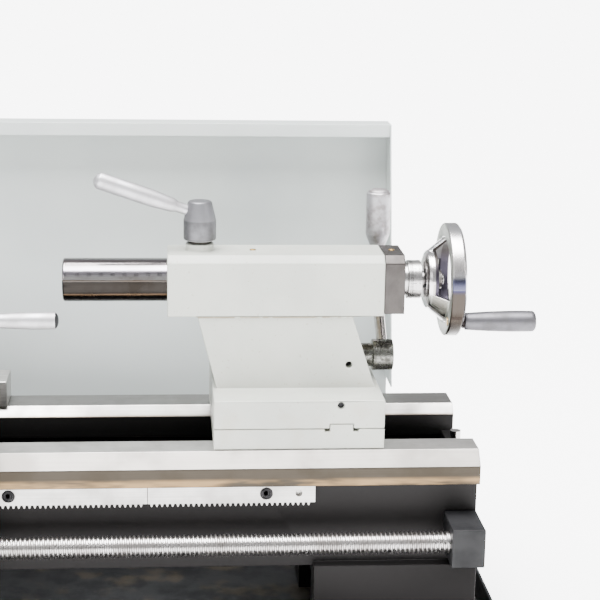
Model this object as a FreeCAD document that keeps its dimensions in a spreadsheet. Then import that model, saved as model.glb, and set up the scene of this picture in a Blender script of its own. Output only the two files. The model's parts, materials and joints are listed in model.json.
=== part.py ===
import FreeCAD, Part
import math
import os
import Sketcher

# A bench lathe for metal, 280 mm swing, with the tailstock near the right end of its bed.
# Frame: origin on the underside of the chip tray, mid-way along the bed, under the spindle axis.
# +X runs along the bed from the headstock to the tailstock, +Y to the splash guard, +Z up.

doc = FreeCAD.newDocument("metal_lathe")
sheet = doc.addObject("Spreadsheet::Sheet", "dims")

# driving dimensions in millimetres; every one has its own cell and alias
sizes = {
    # bed
    "bedLength": 1100, "wayHeight": 200, "centreHeight": 140,
    "frontWay": 81, "rearWay": 95, "gapHalf": 51, "frontSlope": 13, "rearSlope": 9,
    "railDepth": 30, "wallInner": 64, "wallOuter": 80, "wallDepth": 112,
    "footLength": 150, "footHalf": 92, "footPlate": 14, "footReach": 24,
    "ribThick": 12, "ribTop": 72, "stopInset": 7, "stopRadius": 5,
    # gear rack under the front way
    "rackThick": 12, "rackHeight": 19, "rackLeft": 560, "rackSeam": 301, "rackRight": 150,
    "toothPitch": 4.712, "toothDepth": 3.2,
    # chip tray and guard
    "trayThick": 3, "trayRim": 30, "trayFront": 190, "trayBack": 152, "trayPast": 30,
    "guardThick": 1.5, "guardTop": 124, "guardBreak": 141, "guardLean": 47, "guardBack": 146,
    "guardInset": 55, "guardFold": 30, "guardLip": 13, "guardSideTop": 30, "guardSideFoot": 44,
    # running and sliding gaps
    "slideGap": 0.3, "runGap": 0.05, "drillGap": 0.2,
    # tailstock
    "tailInset": 283, "barrelLength": 199.4, "barrelHalf": 30, "barrelTop": 28, "barrelBottom": 28.6,
    "barrelChamfer": 7, "baseLeft": 41.3, "baseRight": 196.1, "baseHalf": 79,
    "baseThick": 19, "ledgeHeight": 46, "tongueLeft": 146.5, "tongueWidth": 21, "tongueRise": 4.3,
    "webTopLeft": 27, "webTopRight": 170, "webFootLeft": 45, "webFootRight": 191,
    "webTopHalf": 28, "webFootHalf": 41,
    "quillRadius": 20, "quillOut": 95.5, "quillBack": 95, "taperMouth": 11.9, "taperEnd": 10.4,
    "taperDepth": 81, "screwRadius": 7, "nutLength": 25, "collarRadius": 12, "journalRadius": 8,
    "capThick": 18.5, "capBottom": 26.5, "dialRadius": 18, "dialStart": 5.5, "dialLength": 12.5,
    "wheelRadius": 53, "wheelStart": 258, "rimWidth": 14, "rimDepth": 15, "rimEdge": 1.2,
    "hubRadius": 15.5,
    "hubStart": 238, "hubEnd": 249, "hubFlare": 27, "windowAngle": 104,
    "armAngle": 123, "crankY": 31.3, "crankZ": 33, "crankLength": 68.5,
    "crankRadius": 10, "crankNeck": 7.7, "studRadius": 4,
    "lockX": 30, "lockBoss": 13, "lockBossRise": 6.9, "lockCollar": 2.7, "lockHubRadius": 15,
    "lockHubRise": 18.5, "lockHubHigh": 36.4, "lockArmUp": 23.7, "lockTopRadius": 11,
    "lockArmLength": 102, "lockArmRadius": 8,
    "camDrop": 73, "camRadius": 11, "camHubRadius": 14.7, "camHubStart": 192.5, "camHubEnd": 212,
    "camLift": 1.5, "camRod": 5.2, "clampX": 118, "clampBolt": 7, "clampThick": 18, "clampHalf": 55,
    "knobRadius": 11.7, "knobBack": 62, "knobLow": 18, "knobHigh": 76,
    # headstock
    "headLength": 250, "headHalf": 105, "headRise": 236, "headWall": 12,
    "spindleRadius": 25, "spindleBore": 13, "bearingRadius": 40, "bearingWidth": 18,
    "noseFlange": 52, "chuckRadius": 62.5, "chuckLength": 58, "chuckBore": 17,
    "jawReach": 26, "jawWidth": 16, "jawInner": 20,
    "beltPulley": 46, "motorPulley": 30, "pulleyWidth": 18, "motorRadius": 44, "motorLength": 190,
    "motorY": 150, "motorZ": 220, "shaftRadius": 9, "coverDepth": 92, "coverWall": 2.5,
    "coverFront": 178, "coverBack": 190, "coverLow": 38, "hingeOut": 6, "hingeRadius": 5,
    "gearWidth": 12, "gearOut": 52, "spindleTeeth": 30, "idlerTeeth": 72, "leadTeeth": 48,
    "panelX": 60, "panelWide": 130, "panelThick": 22, "buttonRadius": 14,
    # leadscrew and carriage
    "leadRadius": 10, "leadEnd": 8, "leadY": 112, "leadZ": 122, "bracketWidth": 30,
    "saddleX": 27, "saddleHalf": 85, "bridgeHalf": 46, "saddleTop": 30, "saddleFront": 134,
    "saddleBack": 98, "wingTop": 26, "keyHalf": 20, "keyFlare": 6, "keyRise": 8,
    "apronHalf": 72, "apronDrop": 132, "apronFace": 138, "apronBack": 96, "apronWall": 8,
    "skirtDrop": 16, "pinionTeeth": 14, "pinionX": 50, "pinionWidth": 9, "shaftThin": 6,
    "apronWheel": 48, "crossWheel": 34, "leverX": 40,
    "crossHalf": 44, "crossFront": 112, "crossBack": 84, "crossThick": 24,
    "swivelRadius": 46, "swivelThick": 14, "compoundY": 54, "compoundLeft": 50,
    "compoundRight": 52, "compoundHalf": 34, "compoundThick": 32, "compoundScrew": 54,
    "slideKeyHalf": 14, "slideKeyFlare": 5, "slideKeyRise": 7,
    "crankAside": 13, "crankUp": 32, "gripRadius": 7.8, "gripLength": 72, "gripCap": 3,
    "postHalf": 32, "postHeight": 54, "slotLow": 20, "slotRise": 22, "slotDepth": 14,
}


class Size:
    """A number that also knows its spreadsheet expression, so sums of sizes stay linked."""

    def __init__(self, number, text):
        self.number = float(number)
        self.text = text

    def join(self, other, sign, number, turned=False):
        left, right = (size(other), self) if turned else (self, size(other))
        return Size(number, "(" + left.text + " " + sign + " " + right.text + ")")

    def __add__(self, other):
        return self.join(other, "+", self.number + size(other).number)

    def __radd__(self, other):
        return self.join(other, "+", self.number + size(other).number, True)

    def __sub__(self, other):
        return self.join(other, "-", self.number - size(other).number)

    def __rsub__(self, other):
        return self.join(other, "-", size(other).number - self.number, True)

    def __mul__(self, other):
        return self.join(other, "*", self.number * size(other).number)

    def __rmul__(self, other):
        return self.join(other, "*", self.number * size(other).number, True)

    def __truediv__(self, other):
        return self.join(other, "/", self.number / size(other).number)

    def __neg__(self):
        return 0 - self


def size(value):
    return value if isinstance(value, Size) else Size(value, repr(float(value)))


class Dims:
    pass


d = Dims()
for row, (alias, value) in enumerate(sizes.items(), start=1):
    sheet.set("A" + str(row), alias)
    sheet.set("B" + str(row), str(value))
    sheet.setAlias("B" + str(row), alias)
    setattr(d, alias, Size(value, "dims." + alias))
doc.recompute()

turns = {
    "x": FreeCAD.Rotation(FreeCAD.Vector(0, 1, 0), 90),
    "y": FreeCAD.Rotation(FreeCAD.Vector(1, 0, 0), -90),
    "z": FreeCAD.Rotation(),
}
profile_turns = {
    "x": FreeCAD.Rotation(),
    "y": FreeCAD.Rotation(FreeCAD.Vector(0, 0, 1), 90),
    "z": FreeCAD.Rotation(FreeCAD.Vector(0, 1, 0), -90),
}


def bind(thing, name, value):
    """Set a property to a number and link it to the sheet."""
    thing.setExpression(name, size(value).text)


def put(thing, x, y, z, rotation=None):
    """Place an object, its corner or its axis start, at x, y, z."""
    x, y, z = size(x), size(y), size(z)
    base = FreeCAD.Vector(x.number, y.number, z.number)
    thing.Placement = FreeCAD.Placement(base, rotation or FreeCAD.Rotation())
    bind(thing, "Placement.Base.x", x)
    bind(thing, "Placement.Base.y", y)
    bind(thing, "Placement.Base.z", z)
    return thing


def box(x0, x1, y0, y1, z0, z1):
    """A block between two corners."""
    block = doc.addObject("Part::Box", "box")
    bind(block, "Length", size(x1) - x0)
    bind(block, "Width", size(y1) - y0)
    bind(block, "Height", size(z1) - z0)
    return put(block, x0, y0, z0)


def rod(axis, radius, start, end, u, v):
    """A round bar along an axis from start to end; u and v are its other two coordinates."""
    bar = doc.addObject("Part::Cylinder", "rod")
    bind(bar, "Radius", radius)
    bind(bar, "Height", size(end) - start)
    spots = {"x": (start, u, v), "y": (u, start, v), "z": (u, v, start)}
    return put(bar, *spots[axis], turns[axis])


def taper(axis, radius1, radius2, start, end, u, v):
    """A cone along an axis, radius1 at its start and radius2 at its end."""
    bar = doc.addObject("Part::Cone", "taper")
    bind(bar, "Radius1", radius1)
    bind(bar, "Radius2", radius2)
    bind(bar, "Height", size(end) - start)
    spots = {"x": (start, u, v), "y": (u, start, v), "z": (u, v, start)}
    return put(bar, *spots[axis], turns[axis])


def fuse(*shapes):
    joined = doc.addObject("Part::MultiFuse", "fuse")
    joined.Shapes = list(shapes)
    joined.Refine = True
    return joined


def cut(base, *tools):
    result = doc.addObject("Part::Cut", "cut")
    result.Base = base
    result.Tool = tools[0] if len(tools) == 1 else fuse(*tools)
    return result


def group(*solids):
    """Several separate solids kept in one node."""
    together = doc.addObject("Part::Compound", "group")
    together.Links = list(solids)
    return together


def plane_of(body, role):
    return next(item for item in body.Origin.OriginFeatures if item.Role == role)


def outline(body, role, points):
    """A closed sketch through points, each coordinate held by its own linked dimension."""
    sketch = body.newObject("Sketcher::SketchObject", "outline")
    sketch.AttachmentSupport = [(plane_of(body, role), "")]
    sketch.MapMode = "FlatFace"
    spots = [(size(a), size(b)) for a, b in points]
    vectors = [FreeCAD.Vector(a.number, b.number, 0) for a, b in spots]
    count = len(vectors)
    for i in range(count):
        sketch.addGeometry(Part.LineSegment(vectors[i], vectors[(i + 1) % count]), False)
    for i in range(count):
        sketch.addConstraint(Sketcher.Constraint("Coincident", i, 2, (i + 1) % count, 1))
    for i, (a, b) in enumerate(spots):
        for kind, value in (("DistanceX", a), ("DistanceY", b)):
            index = sketch.addConstraint(Sketcher.Constraint(kind, i, 1, value.number))
            if "dims." in value.text:
                sketch.setExpression("Constraints[" + str(index) + "]", value.text)
    return sketch


def bar_of(points, x0, x1):
    """A bar along X whose section in Y and Z is the outline."""
    body = doc.addObject("PartDesign::Body", "bar")
    sketch = outline(body, "YZ_Plane", points)
    pad = body.newObject("PartDesign::Pad", "length")
    pad.Profile = sketch
    bind(pad, "Length", size(x1) - x0)
    sketch.Visibility = False
    return put(body, x0, 0, 0)


def plate_of(points, y0, y1):
    """A plate in X and Z, from y0 back to y1."""
    body = doc.addObject("PartDesign::Body", "plate")
    sketch = outline(body, "XZ_Plane", points)
    pad = body.newObject("PartDesign::Pad", "thickness")
    pad.Profile = sketch
    pad.Reversed = True
    bind(pad, "Length", size(y1) - y0)
    return put(body, 0, y0, 0)


def turned(points, axis="x", x=0, y=0, z=0):
    """A piece turned about an axis: points are the distance along it and the radius."""
    body = doc.addObject("PartDesign::Body", "turned")
    sketch = outline(body, "XY_Plane", points)
    spin = body.newObject("PartDesign::Revolution", "turning")
    spin.Profile = sketch
    spin.ReferenceAxis = (sketch, ["H_Axis"])
    spin.Angle = 360
    return put(body, x, y, z, profile_turns[axis])


def ring(axis, inner, outer, start, end, u, v):
    return cut(rod(axis, outer, start, end, u, v), rod(axis, inner, start - size(1), size(end) + 1, u, v))


nodes = []


def node(label, thing):
    """Name a finished sub-part; the name is also its file's name."""
    thing.Label = label
    nodes.append(thing)
    return thing


def gear_wheel(teeth, module, width, bore, phase, x, y, z, spin=None):
    """A spur gear about X with straight-flanked teeth, a little thin so that it runs free."""
    pitch = teeth * module / 2
    tip, root = pitch + 0.85 * module, pitch - 1.2 * module
    step = 2 * math.pi / teeth
    corners = []
    for i in range(teeth):
        middle = phase + i * step
        for radius, share in ((root, -0.30), (tip, -0.12), (tip, 0.12), (root, 0.30)):
            angle = middle + share * step
            corners.append(FreeCAD.Vector(0, radius * math.cos(angle), radius * math.sin(angle)))
    corners.append(corners[0])
    disc = Part.Face(Part.makePolygon(corners)).extrude(FreeCAD.Vector(width, 0, 0))
    hole = Part.makeCylinder(bore, width + 2, FreeCAD.Vector(-1, 0, 0), FreeCAD.Vector(1, 0, 0))
    gear = doc.addObject("Part::Feature", "gear")
    gear.Shape = disc.cut(hole)
    gear.Placement = FreeCAD.Placement(FreeCAD.Vector(x, y, z), spin or FreeCAD.Rotation())
    return gear


half = d.bedLength / 2
way = d.wayHeight
head0 = -half
head1 = head0 + d.headLength
head_top = way + d.headRise
axis = d.wayHeight + d.centreHeight
tail = half - d.tailInset
under_rail = way - d.railDepth
wall_foot = way - d.wallDepth


# ---------------------------------------------------------------- bed and what is fixed to it
front_edge = d.frontWay + d.frontSlope
rack_face = d.wallOuter + d.rackThick
rack_screw_z = under_rail - 7
rack_screws_x = [tail + 88.7, tail - 141.3, tail - 371.3, tail - 540]
foot_bolts = [(side * (half - d.footLength / 2), hand * (d.footHalf + 12))
              for side in (-1, 1) for hand in (-1, 1)]


def make_bed():
    front = bar_of([(-front_edge, under_rail), (-front_edge, way - d.frontSlope),
                    (-d.frontWay, way), (-d.gapHalf, way), (-d.gapHalf, under_rail)], -half, half)
    rear = bar_of([(d.gapHalf, under_rail), (d.gapHalf, way - d.rearSlope),
                   (d.gapHalf + d.rearSlope, way), (d.rearWay, way), (d.rearWay, under_rail)],
                  -half, half)
    pieces = [front, rear]
    for hand in (-1, 1):
        inner, outer = hand * d.wallInner, hand * d.wallOuter
        low, high = (outer, inner) if hand < 0 else (inner, outer)
        pieces.append(box(-half, half, low, high, wall_foot, under_rail))
    for side in (-1, 1):
        end, start = side * half, side * (half - d.footLength)
        low, high = (end, start) if side < 0 else (start, end)
        plate_top = d.trayThick + d.footPlate
        block = box(low, high, -d.footHalf, d.footHalf, d.trayThick, wall_foot + 4)
        tunnel = box(low - 1, high + 1, -d.wallInner, d.wallInner, d.trayThick - 1, wall_foot - 12)
        pieces.append(cut(block, tunnel))
        for hand in (-1, 1):
            near, far = hand * (d.footHalf - 8), hand * (d.footHalf + d.footReach)
            front_y, back_y = (far, near) if hand < 0 else (near, far)
            pieces.append(box(low, high, front_y, back_y, d.trayThick, plate_top))
    for share in (-0.36, -0.12, 0.12, 0.36):
        middle = share * d.bedLength
        pieces.append(box(middle, middle + d.ribThick, -d.wallInner - 1, d.wallInner + 1,
                          wall_foot, way - d.ribTop))
    for side in (-1, 1):
        end, start = side * half, side * (half - d.ribThick)
        low, high = (end, start) if side < 0 else (start, end)
        pieces.append(box(low, high, -d.wallInner - 1, d.wallInner + 1, wall_foot - 12, way - 26))
    holes = []
    for x in rack_screws_x:
        holes.append(rod("y", 3.1, -d.wallOuter - 1, -d.wallOuter + 12, x, rack_screw_z))
    for x, y in foot_bolts:
        holes.append(rod("z", 5.2, 0, d.trayThick + d.footPlate + 1, x, y))
    holes.append(rod("z", 3.1, way - 50, way - 20, half - d.stopInset, 0))
    node("bed_casting", cut(fuse(*pieces), *holes))
    node("tailstock_stop", fuse(
        rod("z", 3, way - 40, way - 25, half - d.stopInset, 0),
        rod("z", d.stopRadius, way - 26, way - 9, half - d.stopInset, 0)))


def rack_length(left, right, origin):
    """One length of rack with its teeth facing down, their spacing counted from origin."""
    pitch, depth = sizes["toothPitch"], sizes["toothDepth"]
    top = under_rail.number
    low = top - sizes["rackHeight"]
    first = math.ceil((left - origin) / pitch + 0.5)
    last = math.floor((right - origin) / pitch - 0.5)
    corners = [FreeCAD.Vector(left, 0, top), FreeCAD.Vector(left, 0, low + depth)]
    for i in range(first, last + 1):
        middle = origin + i * pitch
        for share, height in ((-0.30, depth), (-0.12, 0.4), (0.12, 0.4), (0.30, depth)):
            corners.append(FreeCAD.Vector(middle + share * pitch, 0, low + height))
    corners.append(FreeCAD.Vector(right, 0, low + depth))
    corners.append(FreeCAD.Vector(right, 0, top))
    corners.append(corners[0])
    solid = Part.Face(Part.makePolygon(corners)).extrude(FreeCAD.Vector(0, sizes["rackThick"], 0))
    length = doc.addObject("Part::Feature", "rack_length")
    length.Shape = solid
    length.Placement = FreeCAD.Placement(FreeCAD.Vector(0, -rack_face.number, 0), FreeCAD.Rotation())
    return length


def make_rack():
    origin = sizes["saddleX"] - sizes["pinionX"] + sizes["toothPitch"] / 2
    seam = half - d.rackSeam
    screw_holes = []
    heads = []
    for x in rack_screws_x:
        screw_holes.append(rod("y", 3.1, -rack_face - 1, -d.wallOuter + 1, x, rack_screw_z))
        screw_holes.append(rod("y", 5.8, -rack_face - 1, -rack_face + 6, x, rack_screw_z))
        shank = rod("y", 3, -rack_face + 5, -d.wallOuter + 10, x, rack_screw_z)
        head = rod("y", 5.6, -rack_face + 0.4, -rack_face + 6, x, rack_screw_z)
        socket = rod("y", 2.8, -rack_face - 1, -rack_face + 3.5, x, rack_screw_z)
        heads.append(cut(fuse(shank, head), socket))
    pin_x = tail + 118.1
    screw_holes.append(rod("y", 3, -rack_face - 1, -rack_face + 5, pin_x, rack_screw_z))
    left = rack_length(-d.rackLeft.number + 20, seam.number - 0.2, origin)
    right = rack_length(seam.number + 0.2, half.number - sizes["rackRight"], origin)
    node("gear_rack", group(*[cut(piece, *screw_holes) for piece in (left, right)]))
    node("rack_screws", group(*heads))


def make_tray_and_guard():
    x0, x1 = -half - d.trayPast, half + d.trayPast
    y0, y1 = -d.trayFront, d.trayBack
    shell = box(x0, x1, y0, y1, 0, d.trayRim)
    well = box(x0 + d.trayThick, x1 - d.trayThick, y0 + d.trayThick, y1 - d.trayThick,
               d.trayThick, d.trayRim + 1)
    bench_holes = [rod("z", 5.5, -1, d.trayThick + 1, sx * (half - 45), sy * 140)
                   for sx in (-1, 1) for sy in (-1, 1)]
    bolt_holes = [rod("z", 5.2, -1, d.trayThick + 1, x, y) for x, y in foot_bolts]
    node("chip_tray", cut(shell, well, *bench_holes, *bolt_holes))

    # the guard is one folded sheet: upright foot, leaning back, top fold and lip, one side
    left, right = head1 + 6, half - d.guardInset
    step = way + d.centreHeight - d.guardBreak
    top = axis + d.guardTop
    back = d.guardBack
    lean_y = back + d.guardLean
    skin = d.guardThick
    sheet_body = bar_of([
        (back, d.trayRim - 12), (back, step), (lean_y, top), (lean_y - d.guardFold, top),
        (lean_y - d.guardFold, top - d.guardLip), (lean_y - d.guardFold + skin, top - d.guardLip),
        (lean_y - d.guardFold + skin, top - skin), (lean_y - skin, top - skin),
        (back - skin, step), (back - skin, d.trayRim - 12)], left, right)
    side = bar_of([
        (back - d.guardSideFoot, way + 4), (back, way + 4), (back, step), (lean_y, top),
        (lean_y - d.guardSideTop, top)], right - skin, right)
    node("splash_guard", fuse(sheet_body, side))
    bolt_top = d.trayThick + d.footPlate
    bolts = [fuse(rod("z", 5, 0.5, bolt_top + 8, x, y), rod("z", 9, bolt_top, bolt_top + 8, x, y))
             for x, y in foot_bolts]
    screws = [rod("y", 4.5, back, back + 3, x, d.trayRim - 6)
              for x in (left + 60, (left + right) / 2, right - 60)]
    node("tray_bolts", group(*bolts, *screws))


# ---------------------------------------------------------------- tailstock
barrel_low = axis - d.barrelBottom
parting = way + d.baseThick
ledge = way + d.ledgeHeight
cam_z = axis - d.camDrop
clamp_x = tail + d.clampX


def make_tailstock_castings():
    h, c, top = d.barrelHalf, d.barrelChamfer, axis + d.barrelTop
    barrel = bar_of([(-h, barrel_low), (-h, top - c), (-h + c, top), (h - c, top), (h, top - c),
                     (h, barrel_low)], tail, tail + d.barrelLength)
    web = doc.addObject("Part::Wedge", "web")
    bind(web, "Ymin", 0)
    bind(web, "Ymax", barrel_low + 1 - ledge)
    bind(web, "Xmin", d.webFootLeft)
    bind(web, "Xmax", d.webFootRight)
    bind(web, "X2min", d.webTopLeft)
    bind(web, "X2max", d.webTopRight)
    bind(web, "Zmin", -d.webFootHalf)
    bind(web, "Zmax", d.webFootHalf)
    bind(web, "Z2min", -d.webTopHalf)
    bind(web, "Z2max", d.webTopHalf)
    put(web, tail, 0, ledge, FreeCAD.Rotation(FreeCAD.Vector(1, 0, 0), 90))
    block = box(tail + d.baseLeft, tail + d.baseRight, -d.baseHalf, d.baseHalf,
                parting + d.slideGap, ledge)
    groove_x0 = tail + d.tongueLeft - d.slideGap
    groove = box(groove_x0, groove_x0 + d.tongueWidth + 2 * d.slideGap, -d.baseHalf - 1,
                 d.baseHalf + 1, parting, parting + d.tongueRise + d.slideGap)
    bore = rod("x", d.quillRadius + d.runGap, tail - 1, tail + d.barrelLength + 1, 0, axis)
    hollow = box(clamp_x - 24, clamp_x + 24, -22, 22, way, barrel_low - 18)
    cam_bore = rod("x", d.camRadius + d.runGap, tail + 60, tail + 200, 0, cam_z)
    hub_room = rod("x", d.camHubRadius + 0.6, tail + d.camHubStart - 9, tail + 230, 0, cam_z)
    lock_boss = rod("z", d.lockBoss, top - 1, top + d.lockBossRise, tail + d.lockX, 0)
    stud_hole = rod("z", 4.1, axis + 21, top + d.lockBossRise + 1, tail + d.lockX, 0)
    set_hole = rod("y", 3, -d.baseHalf - 1, -d.baseHalf + 14, tail + 156, parting + 22)
    web_hole = rod("y", 3, -42, -13, tail + 167, cam_z)
    oil_hole = rod("z", 2.1, axis + 21, axis + d.barrelTop + 1, tail + 79, 0)
    cap_holes = [rod("x", 2.6, tail + d.barrelLength - 14, tail + d.barrelLength + 1, sy * 22,
                     axis + sz * 20) for sy in (-1, 1) for sz in (-1, 1)]
    node("tailstock_body", cut(fuse(barrel, lock_boss, web, block), bore, groove, hollow, cam_bore, hub_room,
                               stud_hole, set_hole, web_hole, oil_hole, *cap_holes))

    plate = box(tail + d.baseLeft, tail + d.baseRight, -d.baseHalf, d.baseHalf,
                way + d.slideGap, parting)
    tongue = box(tail + d.tongueLeft, tail + d.tongueLeft + d.tongueWidth, -d.baseHalf,
                 d.baseHalf, parting - 1, parting + d.tongueRise)
    lug = box(tail + d.baseLeft + 6, tail + d.baseRight - 6, -d.gapHalf + d.slideGap,
              d.gapHalf - d.slideGap, way - 14, way + 1)
    reliefs = [box(x, x + 5, -d.baseHalf - 1, d.baseHalf + 1, parting - 2.4, parting + 1)
               for x in (tail + d.tongueLeft - 5, tail + d.tongueLeft + d.tongueWidth)]
    slot = box(clamp_x - 12, clamp_x + 12, -24, 24, way - 20, parting + 5)
    node("tailstock_base", cut(fuse(plate, tongue, lug), slot, *reliefs))

    cap_x0, cap_x1 = tail + d.barrelLength, tail + d.barrelLength + d.capThick
    cap = bar_of([(-h, axis - d.capBottom), (-h, top - c), (-h + c, top), (h - c, top),
                  (h, top - c), (h, axis - d.capBottom)], cap_x0, cap_x1)
    recess = rod("x", d.collarRadius + 0.3, cap_x0 - 1, cap_x0 + 7, 0, axis)
    journal = rod("x", d.journalRadius + d.runGap, cap_x0 - 1, cap_x1 + 1, 0, axis)
    screw_holes = []
    screws = []
    for sy in (-1, 1):
        for sz in (-1, 1):
            y, z = sy * 22, axis + sz * 20
            screw_holes.append(rod("x", 2.6, cap_x0 - 1, cap_x1 + 1, y, z))
            screw_holes.append(rod("x", 4.6, cap_x1 - 5.2, cap_x1 + 1, y, z))
            shank = rod("x", 2.5, cap_x0 - 12, cap_x1 - 4, y, z)
            head = rod("x", 4.4, cap_x1 - 5.2, cap_x1 - 0.2, y, z)
            screws.append(cut(fuse(shank, head), rod("x", 2, cap_x1 - 3, cap_x1, y, z)))
    oil = rod("z", 2.1, axis + 18, top + 1, cap_x0 + 9, 0)
    node("tailstock_end_cap", cut(cap, recess, journal, oil, *screw_holes))
    node("tailstock_oilers", group(*[
        fuse(rod("z", 2, top - 5, top, x, 0), rod("z", 3, top, top + 0.6, x, 0))
        for x in (tail + 79, cap_x0 + 9)]))
    node("tailstock_screws", group(
        *screws,
        rod("y", 2.9, -d.baseHalf + 4, -d.baseHalf + 13, tail + 156, parting + 22),
        rod("y", 2.9, -26, -14, tail + 167, cam_z)))


def make_quill_train():
    nose = -d.quillOut
    throat = nose + d.taperDepth
    nut_x = d.quillBack - d.nutLength
    node("quill", turned([
        (nose, d.taperMouth), (nose, d.quillRadius - 1.2), (nose + 1.2, d.quillRadius),
        (d.quillBack, d.quillRadius), (d.quillBack, 13), (throat + 4, 13),
        (throat, d.taperEnd)], "x", tail, 0, axis))
    node("quill_nut", ring("x", d.screwRadius + d.runGap, 13, tail + nut_x, tail + d.quillBack,
                           0, axis))
    cap_x0, cap_x1 = d.barrelLength, d.barrelLength + d.capThick
    node("quill_screw", turned([
        (20, 0), (20, d.screwRadius - 1), (21, d.screwRadius), (cap_x0 - 2, d.screwRadius),
        (cap_x0 + 0.3, d.collarRadius), (cap_x0 + 6.5, d.collarRadius),
        (cap_x0 + 6.5, d.journalRadius), (d.hubEnd, d.journalRadius),
        (d.hubEnd, 5), (d.hubEnd + 9, 5), (d.hubEnd + 9, 0)], "x", tail, 0, axis))
    dial_x0 = cap_x1 + d.dialStart
    node("tailstock_dial", fuse(
        ring("x", d.journalRadius + d.runGap, d.dialRadius, tail + dial_x0,
             tail + dial_x0 + d.dialLength, 0, axis),
        ring("x", d.journalRadius + d.runGap, d.dialRadius - 2.5, tail + cap_x1 + 0.4,
             tail + dial_x0 + 1, 0, axis)))


def make_handwheel():
    r, rim0 = d.wheelRadius, d.wheelStart
    inner = r - d.rimDepth
    rim = turned([
        (rim0, inner + 3), (rim0, r - d.rimEdge), (rim0 + d.rimEdge, r),
        (rim0 + d.rimWidth - 2 * d.rimEdge, r), (rim0 + d.rimWidth, r - 2 * d.rimEdge),
        (rim0 + d.rimWidth, inner + 4), (rim0 + d.rimWidth - 3, inner),
        (rim0 + 3, inner)], "x", tail, 0, axis)
    flare, hub0, bore = d.hubFlare, d.hubStart, d.journalRadius + d.runGap
    dish = turned([
        (hub0, bore), (hub0, d.hubRadius + 1.8), (hub0 + 2, flare - 2.5), (hub0 + 3.5, flare),
        (hub0 + 5, flare + 0.3), (rim0, inner + 1.5), (rim0 + 5, inner + 1.5),
        (hub0 + 9, flare - 2), (hub0 + 6.5, d.hubRadius), (d.hubEnd, d.hubRadius - 0.5),
        (d.hubEnd, bore)], "x", tail, 0, axis)
    # two windows, which leave a broad arm out towards the crank and one opposite
    core = rod("x", flare + 0.8, tail + hub0 - 5, tail + rim0 + 20, 0, axis)
    windows = []
    for side in (90, 270):
        sector = doc.addObject("Part::Cylinder", "window")
        bind(sector, "Radius", inner + 1.6)
        bind(sector, "Height", d.rimWidth + 25)
        bind(sector, "Angle", d.windowAngle)
        start = side - sizes["armAngle"] - sizes["windowAngle"] / 2
        # a cylinder laid along x starts its sweep at the bottom, 90 degrees before +y
        spin = FreeCAD.Rotation(FreeCAD.Vector(1, 0, 0), start + 90)
        put(sector, tail + hub0 - 4, 0, axis, spin.multiply(turns["x"]))
        windows.append(sector)
    dish = cut(dish, cut(fuse(*windows), core))
    crank_hole = rod("x", d.studRadius + 0.1, tail + rim0 - 1, tail + rim0 + d.rimWidth + 1,
                     -d.crankY, axis - d.crankZ)
    node("tailstock_handwheel", cut(fuse(rim, dish), crank_hole))
    node("handwheel_nut", cut(
        rod("x", 8.5, tail + d.hubEnd + 0.2, tail + d.hubEnd + 7, 0, axis),
        rod("x", 5.1, tail + d.hubEnd - 1, tail + d.hubEnd + 14, 0, axis)))
    stud_end = rim0 + d.rimWidth + d.crankLength
    node("crank_stud", fuse(
        rod("x", d.studRadius, tail + rim0 - 0.6, tail + stud_end - 6, -d.crankY, axis - d.crankZ),
        rod("x", 6.5, tail + rim0 + d.rimWidth, tail + rim0 + d.rimWidth + 1.6, -d.crankY,
            axis - d.crankZ)))
    start = rim0 + d.rimWidth + 2
    node("crank_handle", turned([
        (start, d.studRadius + d.runGap), (start, d.crankNeck), (start + 22, d.crankRadius - 0.6),
        (start + 40, d.crankRadius), (stud_end - 2, d.crankRadius - 1), (stud_end, 6), (stud_end, 0),
        (stud_end - 5, 0), (stud_end - 5, d.studRadius + d.runGap)],
        "x", tail, -d.crankY, axis - d.crankZ))


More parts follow.
